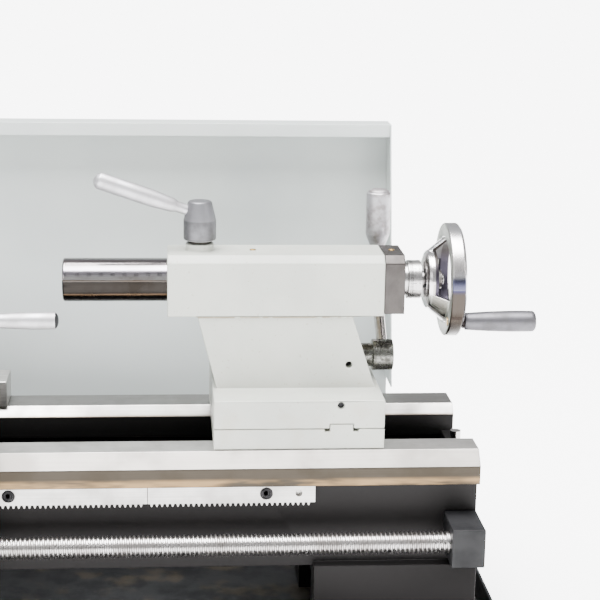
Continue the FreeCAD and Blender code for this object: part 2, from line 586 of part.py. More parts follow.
def make_lock_and_clamp():
    x = tail + d.lockX
    seat_z = axis + d.barrelTop + d.lockBossRise
    base = seat_z + d.lockCollar
    arm_z = base + d.lockArmUp
    stud = fuse(rod("z", d.studRadius, axis + 21, base + 12, x, 0),
                rod("z", d.lockHubRadius - 3.5, seat_z + d.slideGap, base, x, 0))
    hub = turned([
        (0, 0), (0, d.lockHubRadius - 1), (1, d.lockHubRadius),
        (d.lockHubRise, d.lockHubRadius), (d.lockHubHigh - 1, d.lockTopRadius),
        (d.lockHubHigh, d.lockTopRadius - 1.5), (d.lockHubHigh, 0)], "z", x, 0, base)
    arm = turned([
        (8, 0), (8, 5), (22, 5), (26, 6.4), (46, d.lockArmRadius),
        (d.lockArmLength - 5, d.lockArmRadius), (d.lockArmLength - 1.5, d.lockArmRadius - 3),
        (d.lockArmLength, 0)])
    # the arm climbs to the left out of the hub
    put(arm, x, 0, arm_z, FreeCAD.Rotation(FreeCAD.Vector(0, 1, 0), 180 + 18.6))
    arm_seat = rod("x", 5, 0, 30, 0, 0)
    put(arm_seat, x, 0, arm_z, FreeCAD.Rotation(FreeCAD.Vector(0, 1, 0), 270 + 18.6))
    node("quill_lock_hub", cut(fuse(hub, stud), arm_seat))
    node("quill_lock_arm", arm)

    shaft = fuse(
        rod("x", d.camRadius, tail + 64, clamp_x - 9, 0, cam_z),
        rod("x", d.camRadius, clamp_x + 9, tail + d.camHubStart + 1, 0, cam_z),
        rod("x", d.camRadius - 1, clamp_x - 10, clamp_x + 10, 0, cam_z + d.camLift / 2),
        rod("x", d.camHubRadius, tail + d.camHubStart, tail + d.camHubEnd, 0, cam_z))
    rod_x = tail + (d.camHubStart + d.camHubEnd) / 2 + 1
    seat = rod("z", d.camRod, 0, 40, 0, 0)
    tilt = FreeCAD.Rotation(FreeCAD.Vector(1, 0, 0), -50)
    put(seat, rod_x, 0, cam_z, tilt)
    node("cam_shaft", cut(shaft, seat))
    # the lever leaves the hub upwards and back, then stands upright behind the body
    reach = sizes["knobBack"] / math.sin(math.radians(50))
    lower = doc.addObject("Part::Cylinder", "lever_lower")
    bind(lower, "Radius", d.camRod)
    lower.Height = reach
    put(lower, rod_x, 0, cam_z, tilt)
    bend_z = cam_z + reach * math.cos(math.radians(50))
    elbow = doc.addObject("Part::Sphere", "elbow")
    bind(elbow, "Radius", d.camRod)
    put(elbow, rod_x, d.knobBack, bend_z)
    upper = rod("z", d.camRod, bend_z, axis + d.knobLow + 14, rod_x, d.knobBack)
    node("cam_lever", fuse(lower, elbow, upper))
    low, high = d.knobLow, d.knobHigh
    node("cam_lever_knob", turned([
        (low, d.camRod + d.runGap), (low, 7), (low + 13, d.knobRadius), (high - 8, d.knobRadius),
        (high - 3, d.knobRadius - 3), (high, 4), (high, 0), (low + 14.5, 0),
        (low + 14.5, d.camRod + d.runGap)], "z", rod_x, d.knobBack, axis))

    eye = ring("x", d.camRadius + 1, d.camRadius + 7, clamp_x - 8, clamp_x + 8, 0, cam_z)
    under = under_rail - d.slideGap
    shank = rod("z", d.clampBolt, under - d.clampThick - 16, cam_z - d.camRadius - 3, clamp_x, 0)
    nut = ring("z", d.clampBolt, 13, under - d.clampThick - 12, under - d.clampThick, clamp_x, 0)
    node("clamp_bolt", group(fuse(eye, shank), nut))
    plate = box(clamp_x - 45, clamp_x + 45, -d.clampHalf, d.clampHalf, under - d.clampThick, under)
    boss = box(clamp_x - 32, clamp_x + 32, -d.gapHalf + 10, d.gapHalf - 10, under - 1, under + 8)
    node("clamp_plate", cut(fuse(plate, boss), rod("z", d.clampBolt + d.drillGap,
                                                   under - d.clampThick - 1, under + 9, clamp_x, 0)))


# ---------------------------------------------------------------- headstock and drive



def make_headstock():
    wall = d.headWall
    outer = bar_of([(-d.headHalf, way), (-d.headHalf, head_top - 14), (-d.headHalf + 14, head_top),
                    (d.headHalf, head_top), (d.headHalf, way)], head0, head1)
    room = box(head0 + wall + 6, head1 - wall - 6, -d.headHalf + wall, d.headHalf - wall,
               way + 20, head_top + 1)
    seats = [rod("x", d.bearingRadius, head0 - 1, head0 + wall + 7, 0, axis),
             rod("x", d.bearingRadius, head1 - wall - 7, head1 + 1, 0, axis)]
    node("headstock_casting", cut(outer, room, *seats))
    node("headstock_lid", box(head0 + 4, head1 - 4, -d.headHalf + 16, d.headHalf - 2,
                              head_top, head_top + 8))
    node("spindle_bearings", group(*[
        ring("x", d.spindleRadius + d.runGap, d.bearingRadius - d.runGap, x, x + d.bearingWidth,
             0, axis)
        for x in (head0 + 0.1, head1 - d.bearingWidth - 0.1)]))
    start, nose = head0 - 78, head1 + 8
    node("spindle", turned([
        (start, d.spindleBore), (start, d.spindleRadius - 5), (head0 - 2, d.spindleRadius - 5),
        (head0 - 2, d.spindleRadius), (head1, d.spindleRadius), (nose - 6, d.spindleRadius),
        (nose - 6, d.noseFlange), (nose + 8, d.noseFlange), (nose + 8, d.spindleBore)],
        "x", 0, 0, axis))
    chuck0, chuck1 = nose + 8, nose + 8 + d.chuckLength
    chuck = turned([
        (chuck0, d.chuckBore), (chuck0, d.chuckRadius - 2), (chuck0 + 2, d.chuckRadius),
        (chuck1 - 2, d.chuckRadius), (chuck1, d.chuckRadius - 2), (chuck1, d.chuckBore)],
        "x", 0, 0, axis)
    slots = []
    jaws = []
    for i in range(3):
        spin = FreeCAD.Rotation(FreeCAD.Vector(1, 0, 0), 90 - 120 * i)
        gap = d.slideGap
        groove = doc.addObject("Part::Box", "jaw_slot")
        bind(groove, "Length", 26)
        bind(groove, "Width", d.jawWidth + 2 * gap)
        bind(groove, "Height", d.chuckRadius + 2)
        across = spin.multVec(FreeCAD.Vector(0, 1, 0))
        half_slot = d.jawWidth / 2 + gap
        put(groove, chuck1 - 24, -half_slot * across.y, axis - half_slot * across.z, spin)
        slots.append(groove)
        out = spin.multVec(FreeCAD.Vector(0, 0, 1))
        half_jaw = d.jawWidth / 2
        steps = []
        for inner, outer_r, x0, x1 in ((d.jawInner, d.chuckRadius - 4, chuck1 - 23, chuck1 + 4),
                                       (d.jawInner, d.jawInner + 26, chuck1 + 3, chuck1 + 14),
                                       (d.jawInner, d.jawInner + 13, chuck1 + 13, chuck1 + d.jawReach)):
            block = doc.addObject("Part::Box", "jaw_step")
            bind(block, "Length", x1 - x0)
            bind(block, "Width", d.jawWidth)
            bind(block, "Height", outer_r - inner)
            put(block, x0, out.y * inner - half_jaw * across.y,
                axis + out.z * inner - half_jaw * across.z, spin)
            steps.append(block)
        jaws.append(fuse(*steps))
    key_holes = []
    for i in range(3):
        hole = rod("z", 4.5, 0, d.chuckRadius + 5, 0, 0)
        spin = FreeCAD.Rotation(FreeCAD.Vector(1, 0, 0), 30 + 120 * i)
        out = spin.multVec(FreeCAD.Vector(0, 0, 1))
        put(hole, chuck0 + 16, out.y * 46, axis + out.z * 46, spin)
        key_holes.append(hole)
    node("chuck_body", cut(chuck, *slots, *key_holes))
    for i, jaw in enumerate(jaws, start=1):
        node("chuck_jaw_" + str(i), jaw)


def make_panel():
    """The switch box on the front of the headstock and its mushroom stop button."""
    x0, x1 = head0 + d.panelX, head0 + d.panelX + d.panelWide
    face = -d.headHalf - d.panelThick
    button_x, button_z = x0 + d.panelWide / 4, axis + 30
    button_hole = rod("y", d.shaftThin + d.drillGap, face - 1, face + 18, button_x, button_z)
    node("switch_box", cut(box(x0, x1, face, -d.headHalf, axis - 5, axis + 65), button_hole))
    node("stop_button", fuse(
        rod("y", d.shaftThin, face - 10, face + 10, button_x, button_z),
        taper("y", d.buttonRadius - 2, d.buttonRadius, face - 18, face - 10, button_x, button_z)))


def make_drive():
    belt_x = head0 - 30
    groove = [(0, d.spindleRadius - 4.95), (0, d.beltPulley), (3, d.beltPulley), (5, d.beltPulley - 4),
              (13, d.beltPulley - 4), (15, d.beltPulley), (d.pulleyWidth, d.beltPulley),
              (d.pulleyWidth, d.spindleRadius - 4.95)]
    node("spindle_pulley", turned(groove, "x", belt_x, 0, axis))
    my, mz = d.motorY, d.motorZ
    small = [(0, d.shaftRadius), (0, d.motorPulley), (3, d.motorPulley), (5, d.motorPulley - 4),
             (13, d.motorPulley - 4), (15, d.motorPulley), (d.pulleyWidth, d.motorPulley),
             (d.pulleyWidth, d.shaftRadius)]
    can0 = head0 + 26
    node("motor_pulley", group(turned(small, "x", belt_x, my, mz),
                               rod("x", d.shaftRadius, belt_x - 6, can0 - 6.5, my, mz)))
    can = rod("x", d.motorRadius, can0, can0 + d.motorLength, my, mz)
    nose = rod("x", d.motorRadius - 14, can0 - 6, can0, my, mz)
    foot = box(can0 + 40, can0 + 150, d.headHalf, my, mz - 30, mz + 30)
    node("motor", fuse(can, nose, foot))

    # the belt is two straight runs and two wraps in the plane of the pulleys
    big, little = sizes["beltPulley"] - 3.7, sizes["motorPulley"] - 3.7
    far = FreeCAD.Vector(0, my.number, mz.number - axis.number)
    span = far.Length
    along = math.atan2(far.z, far.y)
    lean = math.acos((big - little) / span)

    def loop(grow):
        spots = []
        for centre, radius, first, last in (
                (FreeCAD.Vector(0, 0, 0), big + grow, along + lean, along + 2 * math.pi - lean),
                (far, little + grow, along - lean, along + lean)):
            for share in (0, 0.5, 1):
                angle = first + share * (last - first)
                spots.append(centre + FreeCAD.Vector(0, math.cos(angle), math.sin(angle)) * radius)
        wrap1 = Part.Arc(*spots[:3]).toShape()
        run1 = Part.LineSegment(spots[2], spots[3]).toShape()
        wrap2 = Part.Arc(*spots[3:]).toShape()
        run2 = Part.LineSegment(spots[5], spots[0]).toShape()
        return Part.Face(Part.Wire([wrap1, run1, wrap2, run2]))

    band = loop(4.5).cut(loop(0)).extrude(FreeCAD.Vector(7, 0, 0))
    belt = doc.addObject("Part::Feature", "belt")
    belt.Shape = band.Solids[0]
    belt.Placement = FreeCAD.Placement(
        FreeCAD.Vector(belt_x.number + 5.5, 0, axis.number), FreeCAD.Rotation())
    node("drive_belt", belt)


def make_gears():
    """Spindle gear, idler and leadscrew gear in one plane outside the headstock."""
    width = sizes["gearWidth"]
    x = head0.number - sizes["gearOut"]
    teeth = [sizes["spindleTeeth"], sizes["idlerTeeth"], sizes["leadTeeth"]]
    spindle = FreeCAD.Vector(0, 0, axis.number)
    lead = FreeCAD.Vector(0, -sizes["leadY"], sizes["leadZ"])
    # the module is the one that makes the three wheels just span the two shafts
    module = (lead - spindle).Length / ((teeth[0] + teeth[1]) / 2 + (teeth[1] + teeth[2]) / 2)
    toward = (lead - spindle).normalize()
    idler = spindle + toward * (teeth[0] + teeth[1]) * module / 2
    angle = math.atan2(toward.z, toward.y)
    spindle_seat = sizes["spindleRadius"] - 5 + sizes["runGap"]
    node("spindle_gear", gear_wheel(teeth[0], module, width, spindle_seat, angle, x, 0, spindle.z))
    idler_phase = angle + math.pi + math.pi / teeth[1]
    node("idler_gear", gear_wheel(teeth[1], module, width, 9.05, idler_phase, x, idler.y, idler.z))
    # the idler's tooth phase is carried through to the side that meets the leadscrew gear
    turns_to_far = (angle - idler_phase) / (2 * math.pi / teeth[1])
    offset = (turns_to_far - round(turns_to_far)) * 2 * math.pi / teeth[1]
    lead_phase = angle + math.pi + math.pi / teeth[2] + offset * teeth[1] / teeth[2]
    node("leadscrew_gear", gear_wheel(teeth[2], module, width, sizes["leadEnd"] + 0.05, lead_phase,
                                      x, lead.y, lead.z))
    make_backplate(x, width, idler)


def make_backplate(gear_x, width, idler):
    """A steel plate on the headstock's end; it carries the idler's stud and the cover's hinge."""
    plate = box(head0 - 3, head0, -d.coverFront, d.coverBack, d.coverLow, head_top - 4)
    holes = [rod("x", radius, head0 - 4, head0 + 1, y, z) for radius, y, z in (
        (d.spindleRadius + 2, 0, axis), (d.leadRadius + 2, -d.leadY, d.leadZ),
        (d.shaftRadius + 3, d.motorY, d.motorZ))]
    stud = fuse(rod("x", 9, gear_x - 2, head0 - 2, idler.y, idler.z),
                rod("x", 14, gear_x + width + 1, gear_x + width + 6, idler.y, idler.z),
                rod("x", 13, gear_x - 5, gear_x - 1, idler.y, idler.z))
    knuckles = []
    for z in hinge_spots:
        knuckles.append(box(head0 - 8, head0, d.coverBack - 2, hinge_y, z + 15.3, z + 30))
        knuckles.append(rod("z", d.hingeRadius, z + 15.3, z + 30, hinge_x, hinge_y))
        knuckles.append(rod("z", 2, z, z + 30, hinge_x, hinge_y))
    node("gear_backplate", fuse(cut(plate, *holes), stud, *knuckles))


hinge_x, hinge_y = head0 - 8, d.coverBack + d.hingeOut
hinge_spots = [d.coverLow + 60, head_top - 120]


def make_gear_cover():
    x0, x1 = head0 - d.coverDepth, head0 - 3.4
    y0, y1, z0, z1 = -d.coverFront, d.coverBack - 0.5, d.coverLow, head_top - 4
    wall = d.coverWall
    shell = cut(box(x0, x1, y0, y1, z0, z1),
                box(x0 + wall, x1 + 1, y0 + wall, y1 - wall, z0 + wall, z1 - wall))
    collar = rod("x", 30, x0, x0 + 4, 0, axis)
    knuckles = []
    rooms = [rod("x", 24, x0 - 1, x0 + 5, 0, axis)]
    for z in hinge_spots:
        knuckles.append(box(hinge_x - 4, hinge_x, y1 - 1, hinge_y, z, z + 15))
        knuckles.append(rod("z", d.hingeRadius, z, z + 15, hinge_x, hinge_y))
        rooms.append(rod("z", 2.06, z - 1, z + 16, hinge_x, hinge_y))
        rooms.append(box(hinge_x - 9, x1 + 2, y1 - 6, hinge_y + 6, z + 15, z + 30.5))
    node("gear_cover", cut(fuse(shell, collar, *knuckles), *rooms))


# ---------------------------------------------------------------- leadscrew and carriage
sx = d.saddleX
cross_z = way + d.saddleTop
swivel_z = cross_z + d.crossThick
slide_z = swivel_z + d.swivelThick
post_z = slide_z + d.compoundThick
apron_top = way - d.skirtDrop
cross_screw_z = way + 15
pinion_x = sx - d.pinionX


def make_leadscrew():
    left, right = head0, half - d.bracketWidth
    node("leadscrew", turned([
        (head0 - d.gearOut - 2, 0), (head0 - d.gearOut - 2, d.leadEnd),
        (left + d.bracketWidth + 0.5, d.leadEnd), (left + d.bracketWidth + 0.5, d.leadRadius),
        (right - 0.5, d.leadRadius), (right - 0.5, d.leadEnd), (half - 4, d.leadEnd),
        (half - 4, 0)], "x", 0, -d.leadY, d.leadZ))
    brackets = []
    for x in (left, right):
        block = box(x, x + d.bracketWidth, -d.leadY - 18, -d.wallOuter, d.leadZ - 18, d.leadZ + 18)
        brackets.append(cut(block, rod("x", d.leadEnd + d.runGap, x - 1, x + d.bracketWidth + 1,
                                       -d.leadY, d.leadZ)))
    node("leadscrew_brackets", group(*brackets))


def key(half_width, flare, low, high, grow):
    """Outline of a dovetail key, wider at its top; grow makes the groove that fits it."""
    return [(-half_width - grow, low), (-half_width - flare - grow, high + grow),
            (half_width + flare + grow, high + grow), (half_width + grow, low)]


def make_carriage():
    gap = d.slideGap
    low = way + gap
    bridge = box(sx - d.bridgeHalf, sx + d.bridgeHalf, -d.saddleFront, d.saddleBack, low, cross_z)
    wings = [box(sx - d.saddleHalf, sx + d.saddleHalf, y0, y1, low, way + d.wingTop)
             for y0, y1 in ((-d.saddleFront, -d.gapHalf - 4), (d.gapHalf + 4, d.saddleBack))]
    skirt = box(sx - d.apronHalf, sx + d.apronHalf, -d.saddleFront, -front_edge - gap,
                apron_top, way + 1)
    dovetail = plate_of(key(d.keyHalf, d.keyFlare, cross_z - 0.5, cross_z + d.keyRise, 0),
                        -d.saddleFront + 12, d.saddleBack - 4)
    dovetail = put(dovetail, sx, -d.saddleFront + 12, 0)
    screw_room = rod("y", d.shaftThin + d.runGap, -d.saddleFront - 1, d.saddleBack - 40, sx,
                     cross_screw_z)
    node("saddle", cut(fuse(bridge, skirt, dovetail, *wings), screw_room))

    wall = d.apronWall
    case = box(sx - d.apronHalf, sx + d.apronHalf, -d.apronFace, -d.apronBack,
               way - d.apronDrop, apron_top)
    room = box(sx - d.apronHalf + wall, sx + d.apronHalf - wall, -d.apronFace + wall,
               -d.apronBack + 1, way - d.apronDrop + wall, apron_top - wall)
    lead_room = rod("x", d.leadRadius + 1, sx - d.apronHalf - 1, sx + d.apronHalf + 1,
                    -d.leadY, d.leadZ)
    shaft_rooms = [rod("y", d.shaftThin + d.runGap, -d.apronFace - 1, -d.apronFace + wall + 1, x, z)
                   for x, z in ((pinion_x, pinion_z), (sx + d.leverX, pinion_z))]
    node("apron", cut(case, room, lead_room, *shaft_rooms))

    face = -d.apronFace
    module = d.toothPitch.number / math.pi
    pinion = gear_wheel(sizes["pinionTeeth"], module, sizes["pinionWidth"], 5.9, math.pi / 2,
                        pinion_x.number, -rack_face.number + 1, pinion_z.number,
                        FreeCAD.Rotation(FreeCAD.Vector(0, 0, 1), 90))
    wheel = wheel_on_y(d.apronWheel, face - 12, pinion_x, pinion_z, -rack_face + 10, 30)
    node("apron_handwheel", fuse(pinion, wheel))
    lever_x = sx + d.leverX
    node("half_nut_lever", fuse(
        rod("y", d.shaftThin, face - 2, face + wall + 10, lever_x, pinion_z),
        rod("y", 11, face - 14, face - 0.5, lever_x, pinion_z),
        box(lever_x - 5, lever_x + 5, face - 12, face - 5, pinion_z - 54, pinion_z),
        rod("y", 9, face - 22, face - 4, lever_x, pinion_z - 56)))

    slab = box(sx - d.crossHalf, sx + d.crossHalf, -d.crossFront, d.crossBack,
               cross_z + gap, swivel_z)
    groove = plate_of(key(d.keyHalf, d.keyFlare, cross_z - 1, cross_z + d.keyRise, gap),
                      -d.crossFront - 1, d.crossBack + 1)
    put(groove, sx, -d.crossFront - 1, 0)
    node("cross_slide", cut(slab, groove))
    node("cross_handwheel", wheel_on_y(d.crossWheel, -d.saddleFront - 14, sx, cross_screw_z,
                                       d.saddleBack - 44, 200))


def wheel_on_y(radius, face, x, z, shaft_end, grip_angle):
    """A hand wheel facing the operator, with its dial, shaft and one upright grip."""
    rim = cut(rod("y", radius, face - 12, face, x, z), rod("y", radius - 9, face - 13, face + 1, x, z))
    hub = rod("y", 12, face - 12, face + 11, x, z)
    spoke_long = box(x - radius + 5, x + radius - 5, face - 9, face - 3, z - 5, z + 5)
    spoke_tall = box(x - 5, x + 5, face - 9, face - 3, z - radius + 5, z + radius - 5)
    turn = math.radians(grip_angle)
    reach = radius - 6
    grip_x, grip_z = x + reach * math.cos(turn), z + reach * math.sin(turn)
    stem = rod("y", 3.5, face - 20, face - 5, grip_x, grip_z)
    grip = rod("y", 7, face - 58, face - 14, grip_x, grip_z)
    shaft = rod("y", d.shaftThin, face - 2, shaft_end, x, z)
    return fuse(rim, hub, spoke_long, spoke_tall, stem, grip, shaft)


pitch_line = under_rail - d.rackHeight + 1.9
pinion_z = pitch_line - d.pinionTeeth * d.toothPitch / (2 * math.pi)


def make_top_slide():
    gap = d.slideGap
    y = -d.compoundY
    disc = rod("z", d.swivelRadius, swivel_z + gap, slide_z, sx, y)
    rail = bar_of(key(d.slideKeyHalf, d.slideKeyFlare, slide_z - 0.5, slide_z + d.slideKeyRise, 0),
                  -d.compoundLeft + 8, d.compoundRight - 8)
    put(rail, sx - d.compoundLeft + 8, y, 0)
    node("compound_swivel", fuse(disc, rail))
    slab = box(sx - d.compoundLeft, sx + d.compoundRight, y - d.compoundHalf, y + d.compoundHalf,
               slide_z + gap, post_z)
    groove = bar_of(key(d.slideKeyHalf, d.slideKeyFlare, slide_z - 1, slide_z + d.slideKeyRise, gap),
                    -d.compoundLeft - 1, d.compoundRight + 1)
    put(groove, sx - d.compoundLeft - 1, y, 0)
    end = sx + d.compoundRight
    screw_z = axis - d.compoundScrew
    screw_room = rod("x", 4 + d.runGap, end - 60, end + 1, y, screw_z)
    node("compound_slide", cut(slab, groove, screw_room))

    # the crank: screw end, dial, arm and a short balance lobe
    reach = math.hypot(sizes["crankAside"], sizes["crankUp"])
    angle = math.degrees(math.atan2(sizes["crankUp"], -sizes["crankAside"]))
    spin = FreeCAD.Rotation(FreeCAD.Vector(1, 0, 0), angle)
    across = spin.multVec(FreeCAD.Vector(0, 0, 1))
    arm = doc.addObject("Part::Box", "arm")
    bind(arm, "Length", 8)
    bind(arm, "Width", reach + 17)
    bind(arm, "Height", 13)
    along = spin.multVec(FreeCAD.Vector(0, 1, 0))
    put(arm, end + 12, y - 6.5 * across.y - 17 * along.y, screw_z - 6.5 * across.z - 17 * along.z,
        spin)
    grip_y, grip_z = y - d.crankAside, screw_z + d.crankUp
    node("compound_crank", fuse(
        rod("x", 4, end - 50, end + 12, y, screw_z),
        rod("x", 10.4, end + 0.4, end + 11, y, screw_z),
        rod("x", 9, end + 10, end + 22, y, screw_z),
        rod("x", 6.5, end + 12, end + 20, grip_y, grip_z),
        rod("x", 8, end + 12, end + 20, y - 17 * along.y, screw_z - 17 * along.z),
        rod("x", 3, end + 19, end + 50, grip_y, grip_z), arm))
    start, finish_x = 20.4, 20.4 + d.gripLength
    node("compound_handle", turned([
        (start, 3 + d.runGap), (start, 5), (start + 6, 5.4), (start + 30, d.gripRadius - 1.3),
        (finish_x - d.gripCap, d.gripRadius), (finish_x - 1, d.gripRadius - 1.2),
        (finish_x, d.gripRadius - 4), (finish_x, 0), (start + 32, 0), (start + 32, 3 + d.runGap)],
        "x", end, grip_y, grip_z))


def make_tool_post():
    x, y = sx - 4, -d.compoundY
    gap = d.slideGap
    block = box(x - d.postHalf, x + d.postHalf, y - d.postHalf, y + d.postHalf,
                post_z + gap, post_z + d.postHeight)
    low, high = post_z + d.slotLow, post_z + d.slotLow + d.slotRise
    inner, outer = d.postHalf - d.slotDepth, d.postHalf + 1
    slots = [box(x - outer, x + outer, y - outer, y - inner, low, high),
             box(x - outer, x + outer, y + inner, y + outer, low, high),
             box(x - outer, x - inner, y - outer, y + outer, low, high),
             box(x + inner, x + outer, y - outer, y + outer, low, high)]
    bolt_room = rod("z", 8.1, post_z - 1, post_z + d.postHeight + 1, x, y)
    screws = [rod("z", 3.5, high - 4, post_z + d.postHeight + 9, x + sa * 24, y + sb * 24)
              for sa in (-1, 1) for sb in (-1, 1)]
    screws += [rod("z", 3.5, high - 4, post_z + d.postHeight + 9, x + sa * 24, y)
               for sa in (-1, 1)]
    node("tool_post", fuse(cut(block, *slots, bolt_room), *screws))
    top = post_z + d.postHeight
    arm = turned([(0, 0), (0, 5), (66, 5), (68, 7.4), (73, 9.6), (78, 10), (83, 8.7), (87, 5.2),
                  (88.5, 0)])
    # the arm climbs to the left out of the hub, and ends in a grip
    put(arm, x, y, top + 12, FreeCAD.Rotation(FreeCAD.Vector(0, 1, 0), 180 + 28))
    node("tool_post_lever", fuse(
        rod("z", 8, post_z + gap, top + 2, x, y), rod("z", 14, top + gap, top + 24, x, y), arm))


for make in (make_bed, make_rack, make_tray_and_guard, make_tailstock_castings, make_quill_train,
             make_handwheel, make_lock_and_clamp, make_headstock, make_panel, make_drive,
             make_gears, make_gear_cover, make_leadscrew, make_carriage, make_top_slide,
             make_tool_post):
    make()


def finish():
    """Recompute, check every object, and write one STEP file for each sub-part."""
    doc.recompute()
    for thing in doc.Objects:
        if "Invalid" in thing.State or "Error" in thing.State:
            raise RuntimeError(thing.Name + " (" + thing.Label + ") failed: " + str(thing.State))
    os.makedirs("parts", exist_ok=True)
    for thing in nodes:
        shape = thing.Shape
        if shape.isNull() or not shape.isValid() or not shape.Solids:
            raise RuntimeError(thing.Label + " is null or not valid")
        shape.exportStep("parts/" + thing.Label + ".step")
        print(thing.Label, len(shape.Solids), "solids", round(shape.Volume / 1000, 2), "cm3")


finish()
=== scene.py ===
# Bench lathe, seen at its tailstock end. Everything is in metres in the lathe's own frame:
# x runs from the headstock to the tailstock, y back to the guard, z up from the bench.
import json
import math
import bmesh
import bpy
import numpy as np
from mathutils import Matrix, Vector


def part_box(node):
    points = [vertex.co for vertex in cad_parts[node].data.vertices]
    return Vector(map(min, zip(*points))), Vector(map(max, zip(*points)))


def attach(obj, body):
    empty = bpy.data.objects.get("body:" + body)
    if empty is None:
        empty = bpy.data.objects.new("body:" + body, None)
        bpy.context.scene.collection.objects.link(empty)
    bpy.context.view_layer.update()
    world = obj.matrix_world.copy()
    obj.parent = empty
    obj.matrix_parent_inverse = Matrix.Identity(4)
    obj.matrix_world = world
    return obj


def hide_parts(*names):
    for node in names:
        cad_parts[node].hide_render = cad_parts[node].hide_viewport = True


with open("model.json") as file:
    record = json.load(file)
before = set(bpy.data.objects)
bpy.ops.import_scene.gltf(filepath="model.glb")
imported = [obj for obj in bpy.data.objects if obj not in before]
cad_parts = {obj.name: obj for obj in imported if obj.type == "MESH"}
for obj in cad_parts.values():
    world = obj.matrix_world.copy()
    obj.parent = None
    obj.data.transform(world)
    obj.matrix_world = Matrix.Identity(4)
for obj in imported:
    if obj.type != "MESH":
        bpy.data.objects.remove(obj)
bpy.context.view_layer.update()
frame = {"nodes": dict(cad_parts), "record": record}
record = frame["record"]
bodyOf = {node: body for body, nodes in record["behaviour"]["bodies"].items() for node in nodes}
slotOf = {part["node"]: part["material_slot"] for part in record["subparts"]}

tailX, axisZ = 0.267, 0.340  # mouth of the tailstock barrel, height of the spindle axis


# the eye stands before the tailstock and looks a little down and to the right; its axes are
# ahead from yaw and pitch, right = ahead x up, then both rolled about ahead
def makeCamera():
    look = {"eye": (0.267, -1.4552, 0.6719), "yaw": 0.0848, "pitch": 0.2364, "roll": 0.0179,
            "lens": 96.4}
    yaw, pitch, roll = look["yaw"], look["pitch"], look["roll"]
    ahead = Vector((math.sin(yaw) * math.cos(pitch), math.cos(yaw) * math.cos(pitch),
                    -math.sin(pitch)))
    right = ahead.cross(Vector((0, 0, 1))).normalized()
    up = right.cross(ahead)
    across = right * math.cos(roll) + up * math.sin(roll)
    upright = up * math.cos(roll) - right * math.sin(roll)
    camera = bpy.data.objects.new("camera", bpy.data.cameras.new("camera"))
    camera.data.lens = look["lens"]
    camera.data.clip_start, camera.data.clip_end = 0.05, 200
    turn = Matrix((across, upright, -ahead)).transposed().to_4x4()
    camera.matrix_world = Matrix.Translation(look["eye"]) @ turn
    bpy.context.scene.collection.objects.link(camera)
    bpy.context.scene.camera = camera


class Wire:
    # A shader socket that does sums: each operator adds the Math node that works it out.
    def __init__(self, tree, socket):
        self.tree, self.socket = tree, socket

    def work(self, operation, first, second):
        return addNode(self.tree, "ShaderNodeMath", {"operation": operation},
                       {0: first, 1: second})

    def __add__(self, other): return self.work("ADD", self, other)
    def __radd__(self, other): return self.work("ADD", other, self)
    def __sub__(self, other): return self.work("SUBTRACT", self, other)
    def __rsub__(self, other): return self.work("SUBTRACT", other, self)
    def __mul__(self, other): return self.work("MULTIPLY", self, other)
    def __rmul__(self, other): return self.work("MULTIPLY", other, self)
    def __pow__(self, other): return self.work("POWER", self, other)
    def __gt__(self, other): return self.work("GREATER_THAN", self, other)


# adds any node: its settings first, then the values or wires of its sockets
def addNode(tree, kind, settings=None, sockets=None, out=0):
    node = tree.nodes.new(kind)
    for name, value in (settings or {}).items():
        setattr(node, name, value)
    for key, value in (sockets or {}).items():
        if isinstance(value, Wire):
            tree.links.new(value.socket, node.inputs[key])
        else:
            node.inputs[key].default_value = value
    return Wire(tree, node.outputs[out]) if len(node.outputs) else None


# first where the mask is 0, second where it is 1
def mixColour(tree, mask, first, second):
    return addNode(tree, "ShaderNodeMix", {"data_type": "RGBA"}, {0: mask, 6: first, 7: second}, 2)


# the wire held between 0 and 1
def clampUnit(wire):
    return addNode(wire.tree, "ShaderNodeClamp", None, {"Value": wire})


# a step from 0 to 1 as the wire passes from low to high, eased at both ends
def ease(wire, low, high):
    return addNode(wire.tree, "ShaderNodeMapRange", {"interpolation_type": "SMOOTHSTEP"},
                   {"Value": wire, "From Min": low, "From Max": high})


# 1 within half of the middle and 0 beyond half + soft: a rising step less a second one
def band(wire, middle, half, soft):
    rise = ease(wire, middle - half - soft, middle - half)
    fall = ease(wire, middle + half, middle + half + soft)
    return rise - fall


# noise on object coordinates stretched by three factors: streaks run along the smallest
def noise(tree, place, scale, detail=3.0, stretch=(1, 1, 1)):
    spread = addNode(tree, "ShaderNodeVectorMath", {"operation": "MULTIPLY"},
                     {0: place, 1: stretch})
    return addNode(tree, "ShaderNodeTexNoise", None,
                   {"Vector": spread, "Scale": scale, "Detail": detail, "Roughness": 0.55})


def rgb(colour):
    return (colour[0], colour[1], colour[2], 1)


